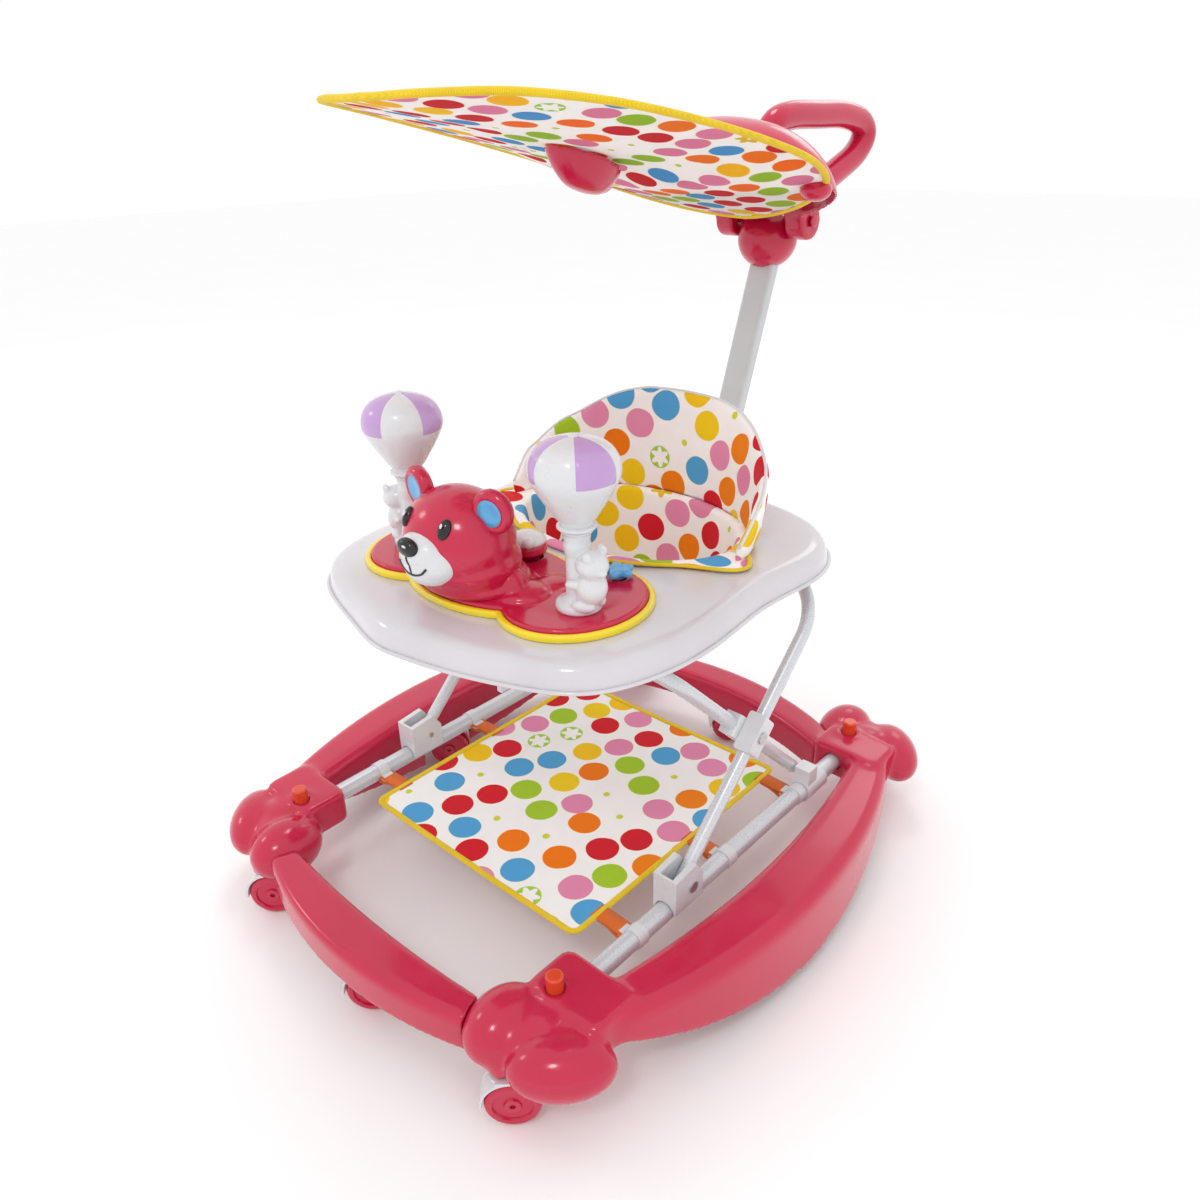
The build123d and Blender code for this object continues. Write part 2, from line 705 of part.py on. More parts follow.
def bear_muzzle(head_part):
    """White muzzle bulging from the face."""
    centre = (0, HEAD[1] - 40, HEAD[2] - 12)
    snout = egg(centre, (1, 0, 0), 39, 27)
    with BuildPart() as piece:
        add(snout)
        add(head_part, mode=Mode.SUBTRACT)
    return piece


def bear_trim(head_part, muzzle_part):
    """Nose and eyes as small rounded studs."""
    nose = egg((0, HEAD[1] - 62, HEAD[2] + 8), (1, 0, 0), 13, 9)
    eyes = []
    for side in (-1, 1):
        eyes.append(egg((side * 28, HEAD[1] - 38, HEAD[2] + 24), (1, 0, 0), 6, 7))
    with BuildPart() as piece:
        add(nose)
        add(eyes)
        add(head_part, mode=Mode.SUBTRACT)
        add(muzzle_part, mode=Mode.SUBTRACT)
    return piece


def ear_pads():
    """Discs let into the front of the ears."""
    with BuildPart() as piece:
        with BuildSketch(Plane.XZ.offset(-(HEAD[1] + EAR_DEPTH - 8))):
            with Locations(*ear_places()):
                Circle(12)
        extrude(amount=-2)
    return piece


def balloon_stand():
    """Column with a foot, a basket and a small figure hugging its outer side."""
    belly = egg((BALLOON_X + 14, BALLOON_Y - 3, DECK_TOP + 24), (0, 1, 0), 14, 15)
    face = egg((BALLOON_X + 16, BALLOON_Y - 4, DECK_TOP + 48), (0, 1, 0), 14, 12)
    with BuildPart() as piece:
        with BuildSketch(Plane.XZ):
            with BuildLine():
                Polyline(
                    (0, DECK_TOP),
                    (24, DECK_TOP),
                    (24, DECK_TOP + 5),
                    (13, DECK_TOP + 9),
                    (12, 500),
                    (15, 510),
                    (16, COLLAR_Z - 0.5),
                    (3, COLLAR_Z - 0.5),
                    (3, COLLAR_Z + 16),
                    (0, COLLAR_Z + 16),
                    close=True,
                )
            make_face()
        revolve(axis=Axis.Z)
        piece.part.move(Location((BALLOON_X, BALLOON_Y, 0)))
        add(belly)
        add(face)
        with Locations(
            (BALLOON_X + 16, BALLOON_Y - 13, DECK_TOP + 59),
            (BALLOON_X + 16, BALLOON_Y + 6, DECK_TOP + 59),
        ):
            Sphere(5)
    return piece


def balloon():
    """Round balloon tapering to a collar, bored for the stand's spindle."""
    bore = 3 + RUNNING_GAP
    lower = (BALLOON_RADIUS * 0.96, BALLOON_Z - BALLOON_RADIUS * 0.28)
    with BuildPart() as piece:
        with BuildSketch(Plane.XZ):
            with BuildLine():
                ThreePointArc(
                    (0, BALLOON_Z + BALLOON_RADIUS),
                    (BALLOON_RADIUS, BALLOON_Z),
                    lower,
                )
                Polyline(
                    lower,
                    (22, COLLAR_Z + 9),
                    (19, COLLAR_Z),
                    (bore, COLLAR_Z),
                    (bore, COLLAR_Z + 17),
                    (0, COLLAR_Z + 17),
                    (0, BALLOON_Z + BALLOON_RADIUS),
                )
            make_face()
        revolve(axis=Axis.Z)
        piece.part.move(Location((BALLOON_X, BALLOON_Y, 0)))
    return piece


def drum_button():
    """Drum with a domed cap, pressed like a horn."""
    with BuildPart() as piece:
        with BuildSketch(Plane.XY.offset(DECK_TOP + 5)):
            with Locations((0, DRUM_Y)):
                Circle(19)
        extrude(amount=21)
        fillet(piece.edges().group_by(Axis.Z)[-1], radius=11)
        with BuildSketch(Plane.XY.offset(TRAY_TOP + 6)):
            with Locations((0, DRUM_Y)):
                Circle(16)
        extrude(amount=DECK_TOP - TRAY_TOP)
    return piece


def flower_button():
    """Flower-shaped key of five petals."""
    with BuildPart() as piece:
        with BuildSketch(Plane.XY.offset(DECK_TOP + 4)):
            with Locations(FLOWER):
                Circle(9)
                with PolarLocations(9, 5):
                    Circle(6)
        extrude(amount=7)
        fillet(piece.edges().group_by(Axis.Z)[-1], radius=1.5)
        with BuildSketch(Plane.XY.offset(TRAY_TOP + 5)):
            with Locations(FLOWER):
                Circle(8)
        extrude(amount=DECK_TOP - TRAY_TOP)
    return piece


def foot_mat():
    """Stretched fabric mat between the rails."""
    with BuildPart() as piece:
        with BuildSketch(Plane.XY.offset(RAIL_Z - 1.5)):
            with Locations((0, -17)):
                RectangleRounded(350, 382, 8)
        extrude(amount=3)
    return piece


def strap_places():
    """Where the mat's straps meet the rails, on both sides."""
    return [(side, y) for side in (-1, 1) for y in (-165, -5, 148)]


def mat_straps():
    """Short straps from the mat to its hooks."""
    with BuildPart() as piece:
        with BuildSketch(Plane.XY.offset(RAIL_Z - 1)):
            for side, y in strap_places():
                with Locations((side * 189, y)):
                    Rectangle(28, 22)
        extrude(amount=2)
    return piece


def mat_hooks():
    """Thin bands round the rails with a bar for each strap."""
    with BuildPart() as piece:
        for side, y in strap_places():
            with BuildSketch(Plane.XZ.offset(-y - 7)):
                with Locations((side * RAIL_X, RAIL_Z)):
                    Circle(RAIL_RADIUS + 1.3)
                with Locations((side * (RAIL_X - 14), RAIL_Z - 5)):
                    RectangleRounded(12, 11, 2)
                with Locations((side * RAIL_X, RAIL_Z)):
                    Circle(RAIL_RADIUS, mode=Mode.SUBTRACT)
            extrude(amount=14)
    return piece


def seat_back():
    """Curved upright pad, open to the front, with flared wings."""
    with BuildPart() as piece:
        with BuildSketch(Plane.XY.offset(TRAY_TOP + 2)):
            with Locations((0, BACK_Y)):
                Ellipse(*BACK_FOOT_RADII)
        with BuildSketch(Plane.XY.offset(BACK_TOP)):
            with Locations((0, BACK_Y)):
                Ellipse(*BACK_HEAD_RADII)
        loft()
        with BuildSketch(Plane.XY.offset(TRAY_TOP + 2)):
            with Locations((0, BACK_Y)):
                Ellipse(BACK_FOOT_RADII[0] - BACK_THICKNESS, BACK_FOOT_RADII[1] - BACK_THICKNESS)
        with BuildSketch(Plane.XY.offset(BACK_TOP)):
            with Locations((0, BACK_Y)):
                Ellipse(BACK_HEAD_RADII[0] - BACK_THICKNESS, BACK_HEAD_RADII[1] - BACK_THICKNESS)
        loft(mode=Mode.SUBTRACT)
        with BuildSketch(Plane.YZ.offset(-220)):
            with BuildLine():
                Polyline(
                    (BACK_Y - 5, TRAY_TOP + 1),
                    (BACK_Y + 90, 518),
                    (BACK_Y + 142, BACK_TOP - 3),
                    (BACK_Y + 170, BACK_TOP),
                    (BACK_Y + 170, TRAY_TOP + 1),
                    close=True,
                )
            make_face()
        extrude(amount=440, mode=Mode.INTERSECT)
    return piece


def seat_bag():
    """Sling under the well: an open bag with two leg holes."""
    top = TRAY_TOP + 1
    with BuildPart() as piece:
        with BuildSketch(Plane.XY.offset(BAG_FLOOR)):
            with Locations((0, WELL_Y)):
                Ellipse(100, 70)
        with BuildSketch(Plane.XY.offset(top)):
            with Locations((0, WELL_Y)):
                Ellipse(WELL_RADII[0] - 1, WELL_RADII[1] - 1)
        loft()
        with BuildSketch(Plane.XY.offset(top)):
            with Locations((0, WELL_Y)):
                Ellipse(WELL_RADII[0] + 4, WELL_RADII[1] + 4)
        extrude(amount=3)
        with BuildSketch(Plane.XY.offset(BAG_FLOOR + BAG_WALL)):
            with Locations((0, WELL_Y)):
                Ellipse(96, 66)
        with BuildSketch(Plane.XY.offset(top + 4)):
            with Locations((0, WELL_Y)):
                Ellipse(WELL_RADII[0] - BAG_WALL - 1, WELL_RADII[1] - BAG_WALL - 1)
        loft(mode=Mode.SUBTRACT)
        with BuildSketch(Plane.XY.offset(BAG_FLOOR - 1)):
            with Locations((-44, WELL_Y - 22), (44, WELL_Y - 22)):
                Circle(34)
        extrude(amount=60, mode=Mode.SUBTRACT)
    return piece


def post_plane(distance):
    """Plane across the post at a distance from its foot."""
    lean = radians(POST_LEAN)
    up = Vector(0, sin(lean), cos(lean))
    return Plane(origin=Vector(*POST_FOOT) + up * distance, x_dir=(1, 0, 0), z_dir=up)


def post_socket():
    """Socket at the rear of the tray that holds the post."""
    with BuildPart() as piece:
        with BuildSketch(post_plane(-8)):
            RectangleRounded(POST_WIDTH + 14, POST_DEPTH + 12, 5)
        extrude(amount=72)
        with BuildSketch(post_plane(0)):
            Rectangle(POST_WIDTH, POST_DEPTH)
        extrude(amount=80, mode=Mode.SUBTRACT)
    return piece


def push_post():
    """Flat steel tube that leans to the rear."""
    with BuildPart() as piece:
        with BuildSketch(post_plane(0)):
            RectangleRounded(POST_WIDTH, POST_DEPTH, 5)
            RectangleRounded(POST_WIDTH - 3, POST_DEPTH - 3, 3.5, mode=Mode.SUBTRACT)
        extrude(amount=POST_LENGTH)
    return piece


def handle_hub():
    """Hub on top of the post with the pin of the canopy knuckles."""
    ball = egg(HUB, (0, 1, 0), HUB_HALF, HUB_RADIUS)
    pin_half = KNUCKLE_IN + KNUCKLE_WIDTH + 3
    with BuildPart() as piece:
        add(ball)
        with BuildSketch(post_plane(0)):
            Rectangle(POST_WIDTH, POST_DEPTH)
        extrude(amount=POST_LENGTH, mode=Mode.SUBTRACT)
        with BuildSketch(Plane.YZ.offset(-pin_half)):
            with Locations((KNUCKLE_Y, KNUCKLE_Z)):
                Circle(5)
        extrude(amount=2 * pin_half)
        for side in (-1, 1):
            with BuildSketch(Plane.YZ.offset(side * (pin_half - 1))):
                with Locations((KNUCKLE_Y, KNUCKLE_Z)):
                    Circle(8)
            extrude(amount=side * 2.5)
    return piece


def push_handle(hub_part):
    """Closed loop of thick tube rising from the back of the hub."""
    joint = (440, 865)
    with BuildPart() as piece:
        with BuildLine(Plane.YZ) as grip:
            FilletPolyline((392, 744), (470, 780), (568, 816), (592, 843), (566, 865), joint, radius=18)
        with BuildSketch(Plane(origin=grip.line @ 0, z_dir=grip.line % 0)):
            Circle(HANDLE_RADIUS)
        sweep(path=grip.line)
        with BuildLine(Plane.YZ) as riser:
            FilletPolyline(joint, (391, 865), (378, 740), radius=26)
        with BuildSketch(Plane(origin=riser.line @ 0, z_dir=riser.line % 0)):
            Circle(HANDLE_RADIUS)
        sweep(path=riser.line)
        add(hub_part, mode=Mode.SUBTRACT)
    return piece


def canopy_height(y):
    """Height of the canopy's centre line."""
    return CANOPY_MIDDLE[1] + CANOPY_SLOPE * (y - CANOPY_MIDDLE[0])


def canopy_hood():
    """Arched shell over the rear of the canopy, on two knuckles."""
    centre = (0, HOOD_Y, HOOD_Z)
    outer = egg(centre, (1, 0, 0), HOOD_HALF_X, HOOD_RADIUS)
    inner = egg(centre, (1, 0, 0), HOOD_HALF_X - HOOD_WALL, HOOD_RADIUS - HOOD_WALL)
    start_y = HOOD_Y - 2 * HOOD_RADIUS
    middle = canopy_height(start_y) + CANOPY_THICKNESS + 0.4
    edge = CANOPY_STRIP_HALF
    with BuildPart() as piece:
        add(outer)
        add(inner, mode=Mode.SUBTRACT)
        # lower edge follows the curl of the canopy
        with BuildSketch(Plane.XZ.offset(-start_y)):
            with BuildLine():
                Bezier(
                    (-edge, middle + CANOPY_RISE),
                    (0, middle - CANOPY_RISE),
                    (edge, middle + CANOPY_RISE),
                )
                Polyline(
                    (edge, middle + CANOPY_RISE),
                    (edge, middle - 2 * edge),
                    (-edge, middle - 2 * edge),
                    (-edge, middle + CANOPY_RISE),
                )
            make_face()
        extrude(amount=4 * HOOD_RADIUS, dir=(0, 1, CANOPY_SLOPE), mode=Mode.SUBTRACT)
        # room for the hub between the knuckles
        with BuildSketch(Plane.XY.offset(HUB[2] - HUB_RADIUS)):
            with Locations((0, KNUCKLE_Y)):
                Rectangle(2 * KNUCKLE_IN - 0.8, 130)
        extrude(amount=94, mode=Mode.SUBTRACT)
        for side in (-1, 1):
            with BuildSketch(Plane.YZ.offset(side * KNUCKLE_IN)):
                with Locations((KNUCKLE_Y, KNUCKLE_Z)):
                    Circle(22)
                with BuildLine():
                    Polyline(
                        (KNUCKLE_Y - 22, KNUCKLE_Z),
                        (KNUCKLE_Y + 4, KNUCKLE_Z + 20),
                        (HOOD_Y + 82, HOOD_Z + 50),
                        (HOOD_Y + 60, HOOD_Z + 60),
                        (HOOD_Y + 74, HOOD_Z + 16),
                        close=True,
                    )
                make_face()
            extrude(amount=side * KNUCKLE_WIDTH)
            with BuildSketch(Plane.YZ.offset(side * (KNUCKLE_IN - 1))):
                with Locations((KNUCKLE_Y, KNUCKLE_Z)):
                    Circle(5 + RUNNING_GAP)
            extrude(amount=side * (KNUCKLE_WIDTH + 2), mode=Mode.SUBTRACT)
        add(canopy_keel())
    return piece


def canopy_keel():
    """Shallow boat-shaped pad under the middle of the canopy."""
    start_y = -260.0
    low = canopy_height(start_y) - CANOPY_RISE - 0.3
    high = canopy_height(start_y) + CANOPY_RISE - 0.3
    edge = CANOPY_STRIP_HALF
    centre = (0, KEEL_Y, canopy_height(KEEL_Y) + KEEL_RADIUS - KEEL_DEPTH)
    with BuildPart() as piece:
        add(egg(centre, (0, 1, CANOPY_SLOPE), KEEL_HALF, KEEL_RADIUS))
        with BuildSketch(Plane.XZ.offset(-start_y)):
            with BuildLine():
                Bezier((-edge, high), (0, low), (edge, high))
                Polyline((edge, high), (edge, high + 100), (-edge, high + 100), (-edge, high))
            make_face()
        extrude(amount=620, dir=(0, 1, CANOPY_SLOPE), mode=Mode.SUBTRACT)
    return piece.part


def canopy_outline():
    """Leaf-shaped plan outline of the canopy."""
    right = [
        (60, -222),
        (118, -184),
        (156, -115),
        (178, -30),
        (189, 60),
        (188, 145),
        (165, 212),
        (120, 256),
        (60, 290),
    ]
    left = [(-x, y) for x, y in reversed(right)]
    Spline(*([(0, -232)] + right + [(0, 312)] + left), periodic=True)


def canopy_fabric():
    """Stretched canopy: a leaf cut from a strip that curls up at its edges."""
    start_y = -260.0
    length = 620.0
    edge = CANOPY_STRIP_HALF
    low = canopy_height(start_y) - CANOPY_RISE
    high = canopy_height(start_y) + CANOPY_RISE
    with BuildPart() as piece:
        with BuildSketch(Plane.XZ.offset(-start_y)):
            with BuildLine():
                Bezier((-edge, high), (0, low), (edge, high))
                Line((edge, high), (edge, high + CANOPY_THICKNESS))
                Bezier(
                    (edge, high + CANOPY_THICKNESS),
                    (0, low + CANOPY_THICKNESS),
                    (-edge, high + CANOPY_THICKNESS),
                )
                Line((-edge, high + CANOPY_THICKNESS), (-edge, high))
            make_face()
        extrude(amount=length, dir=(0, 1, CANOPY_SLOPE))
        with BuildSketch(Plane.XY.offset(680)):
            with BuildLine():
                canopy_outline()
            make_face()
        extrude(amount=300, mode=Mode.INTERSECT)
    return piece


def write_base():
    """Base: rockers, cross members, rails, mat and buttons."""
    right = rocker()
    save_mirrored(right, "rocker_left", "rocker_right")
    front = cross_member(-1, 186.0, (354, 390), (325, 336), FRONT_CASTER)
    save(front, "cross_member_front")
    rear = cross_member(1, BLOCK_X[0], (289, 336), (245, 286), REAR_CASTER)
    save(rear, "cross_member_rear")
    save_mirrored(rail(), "rail_left", "rail_right")
    save(rear_tees(), "rear_tees")
    save(foot_mat(), "foot_mat")
    save(mat_straps(), "mat_straps")
    save(mat_hooks(), "mat_hooks")
    places = {
        "button_front_left": (-BUTTON_X, -BUTTON_Y),
        "button_front_right": (BUTTON_X, -BUTTON_Y),
        "button_rear_left": (-BUTTON_X, BUTTON_Y),
        "button_rear_right": (BUTTON_X, BUTTON_Y),
    }
    for name, place in places.items():
        stud = button()
        stud.part.move(Location((*place, 0)))
        save(stud, name)


def write_casters():
    """Eight casters, all trailing the same way at rest."""
    x, y = CORNER_CASTER
    places = {
        "front_left": (-x, -y),
        "front_middle": FRONT_CASTER,
        "front_right": (x, -y),
        "side_left": (-SIDE_CASTER[0], SIDE_CASTER[1]),
        "side_right": SIDE_CASTER,
        "rear_left": (-x, y),
        "rear_middle": REAR_CASTER,
        "rear_right": (x, y),
    }
    for name, place in places.items():
        swivel = Location((*place, 0), (0, 0, HEADING))
        frame = caster_frame()
        frame.part.move(swivel)
        save(frame, f"caster_frame_{name}")
        wheel = caster_wheel()
        wheel.part.move(swivel * Location((TRAIL, 0, WHEEL_RADIUS)))
        save(wheel, f"caster_wheel_{name}")


def write_legs():
    """Scissor legs, crossing pieces, brackets and pins."""
    save(leg_frame(FRONT_PIN_Y, 1, FRONT_LEG_X, FRONT_LEG_BEND), "front_leg_frame")
    save(leg_frame(REAR_PIVOT_Y, -1, REAR_LEG_X, REAR_LEG_BEND), "rear_leg_frame")
    blocks = crossing_piece(1, FRONT_LEG_X, 213.2, 234.4, PIN_RADIUS + RUNNING_GAP)
    save(blocks, "crossing_blocks")
    sleeves = crossing_piece(-1, REAR_LEG_X, 191.6, 212.8, PIN_RADIUS)
    save(sleeves, "crossing_sleeves")
    save(crossing_pins(), "crossing_pins")
    save(leg_brackets(), "leg_brackets")
    save(bracket_pins(), "bracket_pins")


def write_tray():
    """Tray, console and toys."""
    save(tray_shell(), "tray_shell")
    save(hinge_clips(), "hinge_clips")
    save(height_racks(), "height_racks")
    save(console_rim(), "console_rim")
    save(console_deck(), "console_deck")
    head = bear_head()
    save(head, "bear_head")
    muzzle = bear_muzzle(head.part)
    save(muzzle, "bear_muzzle")
    save(bear_trim(head.part, muzzle.part), "bear_eyes_nose")
    save(ear_pads(), "bear_ear_pads")
    save_mirrored(balloon_stand(), "balloon_stand_left", "balloon_stand_right")
    save_mirrored(balloon(), "balloon_left", "balloon_right")
    save(drum_button(), "drum_button")
    save(flower_button(), "flower_button")


def write_seat_and_canopy():
    """Seat, push bar and canopy."""
    save(seat_back(), "seat_back")
    save(seat_bag(), "seat_bag")
    save(post_socket(), "post_socket")
    save(push_post(), "push_post")
    hub = handle_hub()
    save(hub, "handle_hub")
    save(push_handle(hub.part), "push_handle")
    save(canopy_hood(), "canopy_hood")
    save(canopy_fabric(), "canopy_fabric")


write_base()
write_casters()
write_legs()
write_tray()
write_seat_and_canopy()
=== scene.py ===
import math
import bpy
import bmesh
import numpy as np
from mathutils import Matrix, Vector, noise
from mathutils.bvhtree import BVHTree


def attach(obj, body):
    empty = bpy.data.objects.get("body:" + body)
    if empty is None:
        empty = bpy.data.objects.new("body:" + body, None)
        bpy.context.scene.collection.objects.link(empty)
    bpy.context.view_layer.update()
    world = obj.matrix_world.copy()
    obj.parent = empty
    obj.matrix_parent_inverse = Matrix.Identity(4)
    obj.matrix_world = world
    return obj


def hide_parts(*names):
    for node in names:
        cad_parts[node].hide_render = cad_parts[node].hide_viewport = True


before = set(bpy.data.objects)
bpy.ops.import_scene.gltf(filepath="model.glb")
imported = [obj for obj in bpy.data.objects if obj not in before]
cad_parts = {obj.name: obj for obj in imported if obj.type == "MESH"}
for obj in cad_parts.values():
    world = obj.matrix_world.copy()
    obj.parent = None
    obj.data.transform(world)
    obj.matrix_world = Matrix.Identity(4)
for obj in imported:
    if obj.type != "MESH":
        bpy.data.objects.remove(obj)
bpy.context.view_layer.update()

# Baby walker: looks built on the CAD frame. Shapes are worked out in millimetres
# about the middle of the wheeled base, and moved to the common origin by P().
MIDDLE_Y = 105.6
scene = bpy.context.scene


def P(x, y, z):
    """Base millimetres to scene metres."""
    return Vector((x, y - MIDDLE_Y, z)) / 1000.0


# ---------------------------------------------------------------- materials
class Nodes:
    """Small helper that builds a node tree line by line."""

    def __init__(self, name, colour, roughness):
        self.mat = bpy.data.materials.new(name)
        self.mat.use_nodes = True
        self.mat.diffuse_color = (*colour, 1)
        self.tree = self.mat.node_tree
        self.shader = self.tree.nodes["Principled BSDF"]
        self.shader.inputs["Base Color"].default_value = (*colour, 1)
        self.shader.inputs["Roughness"].default_value = roughness

    def node(self, kind, **settings):
        made = self.tree.nodes.new(kind)
        for key, value in settings.items():
            setattr(made, key, value)
        return made

    def link(self, source, target):
        self.tree.links.new(source, target)

    def math(self, operation, a, b=None, c=None, clamp=False):
        made = self.node("ShaderNodeMath", operation=operation, use_clamp=clamp)
        for socket, value in zip(made.inputs, (a, b, c)):
            if value is None:
                continue
            if isinstance(value, (int, float)):
                socket.default_value = value
            else:
                self.link(value, socket)
        return made.outputs[0]

    def noise(self, scale, detail=2.0, vector=None, roughness=0.5):
        made = self.node("ShaderNodeTexNoise")
        made.inputs["Scale"].default_value = scale
        made.inputs["Detail"].default_value = detail
        made.inputs["Roughness"].default_value = roughness
        if vector is None:
            vector = self.node("ShaderNodeTexCoord").outputs["Object"]
        self.link(vector, made.inputs["Vector"])
        return made.outputs["Fac"]

    def ramp(self, value, stops, interpolation="LINEAR"):
        made = self.node("ShaderNodeValToRGB")
        made.color_ramp.interpolation = interpolation
        elements = made.color_ramp.elements
        while len(elements) < len(stops):
            elements.new(0.5)
        for element, (place, colour) in zip(elements, stops):
            element.position = place
            element.color = (*colour, 1) if len(colour) == 3 else colour
        self.link(value, made.inputs[0])
        return made.outputs[0]

    def mix(self, factor, a, b, blend="MIX"):
        made = self.node("ShaderNodeMix", data_type="RGBA", blend_type=blend)
        for socket, value in ((made.inputs[0], factor), (made.inputs[6], a), (made.inputs[7], b)):
            if isinstance(value, (int, float)):
                socket.default_value = value
            elif isinstance(value, tuple):
                socket.default_value = (*value, 1)
            else:
                self.link(value, socket)
        return made.outputs[2]

    def bump(self, height, strength, distance):
        made = self.node("ShaderNodeBump")
        made.inputs["Strength"].default_value = strength
        made.inputs["Distance"].default_value = distance
        self.link(height, made.inputs["Height"])
        self.link(made.outputs[0], self.shader.inputs["Normal"])


def shade(colour, factor):
    return tuple(min(1.0, channel * factor) for channel in colour)


def plastic(name, colour, roughness=0.24, coat=0.35, grain=0.25, subsurface=0.0):
    """Moulded plastic: faint mottling, worn edges, orange-peel skin, clear gloss."""
    n = Nodes(name, colour, roughness)
    cloud = n.noise(9.0, 3.0)
    base = n.ramp(cloud, [(0.3, shade(colour, 0.94)), (0.7, shade(colour, 1.04))])
    point = n.node("ShaderNodeNewGeometry").outputs["Pointiness"]
    wear = n.ramp(point, [(0.53, (0, 0, 0)), (0.64, (1, 1, 1))])
    light = tuple(channel * 0.8 + 0.12 for channel in colour)
    scratch = n.math("MULTIPLY", wear, n.noise(60.0, 4.0))
    base = n.mix(n.math("MULTIPLY", scratch, 0.55), base, light)
    n.link(base, n.shader.inputs["Base Color"])
    rough = n.math("MULTIPLY_ADD", n.noise(35.0, 4.0), 0.14, roughness - 0.07)
    n.link(rough, n.shader.inputs["Roughness"])
    n.shader.inputs["Coat Weight"].default_value = coat
    n.shader.inputs["Coat Roughness"].default_value = 0.05
    n.shader.inputs["Subsurface Weight"].default_value = subsurface
    n.shader.inputs["Subsurface Scale"].default_value = 0.004
    peel = n.math("ADD", n.noise(420.0, 2.0), n.math("MULTIPLY", n.noise(60.0, 2.0), 1.5))
    n.bump(peel, grain, 0.0002)
    return n.mat


def painted_tube(name, colour):
    """Powder-coated steel tube with a fine hammered speckle."""
    n = Nodes(name, colour, 0.3)
    speck = n.noise(1300.0, 2.0)
    base = n.ramp(speck, [(0.35, shade(colour, 0.86)), (0.6, shade(colour, 1.06))])
    streak = n.noise(14.0, 3.0)
    base = n.mix(n.math("MULTIPLY", streak, 0.18), base, shade(colour, 0.72))
    n.link(base, n.shader.inputs["Base Color"])
    n.link(n.math("MULTIPLY_ADD", speck, 0.22, 0.18), n.shader.inputs["Roughness"])
    n.shader.inputs["Metallic"].default_value = 0.25
    n.shader.inputs["Coat Weight"].default_value = 0.3
    n.bump(speck, 0.35, 0.0002)
    return n.mat


def steel(name):
    n = Nodes(name, (0.62, 0.62, 0.63), 0.32)
    n.shader.inputs["Metallic"].default_value = 1.0
    turned = n.noise(500.0, 3.0)
    n.link(n.math("MULTIPLY_ADD", turned, 0.2, 0.24), n.shader.inputs["Roughness"])
    grey = n.ramp(turned, [(0.3, (0.5, 0.5, 0.51)), (0.7, (0.7, 0.7, 0.71))])
    n.link(grey, n.shader.inputs["Base Color"])
    n.bump(turned, 0.2, 0.0001)
    return n.mat


def weave(n, vector, strength=0.35, pitch=1100.0):
    """Plain weave from two crossed waves on metric texture coordinates."""
    threads = []
    for direction in ("X", "Y"):
        wave = n.node("ShaderNodeTexWave", wave_type="BANDS", bands_direction=direction)
        wave.inputs["Scale"].default_value = pitch / 6.283
        wave.inputs["Distortion"].default_value = 0.6
        wave.inputs["Detail"].default_value = 1.0
        n.link(vector, wave.inputs["Vector"])
        threads.append(wave.outputs["Fac"])
    cloth = n.math("MULTIPLY", threads[0], threads[1])
    soft = n.noise(160.0, 3.0, vector)
    n.bump(n.math("ADD", cloth, soft), strength, 0.0003)
    return cloth


def tape(name, colour, roughness=0.75):
    """Woven binding or webbing of one colour."""
    n = Nodes(name, colour, roughness)
    vector = n.node("ShaderNodeTexCoord").outputs["Object"]
    cloth = weave(n, vector, 0.5, 1700.0)
    patches = n.math("MULTIPLY", n.noise(40.0, 3.0), 0.5)
    # painted shade: the weave darkens the colour in the gaps between threads; the noise patches are random
    # tone
    tone = n.math("ADD", n.math("MULTIPLY", cloth, 0.5), patches)
    thread_shade_and_patches = n.ramp(tone, [(0.15, shade(colour, 0.78)), (0.6, shade(colour, 1.06))])
    n.link(thread_shade_and_patches, n.shader.inputs["Base Color"])
    n.shader.inputs["Sheen Weight"].default_value = 0.06
    n.shader.inputs["Sheen Roughness"].default_value = 0.4
    return n.mat


DOT_COLOURS = [
    (0.66, 0.010, 0.020),
    (0.88, 0.190, 0.003),
    (0.90, 0.55, 0.008),
    (0.78, 0.27, 0.44),
    (0.085, 0.36, 0.66),
    (0.37, 0.57, 0.025),
    (0.64, 0.012, 0.024),
    (0.86, 0.22, 0.004),
    (0.88, 0.60, 0.01),
    (0.76, 0.25, 0.41),
]


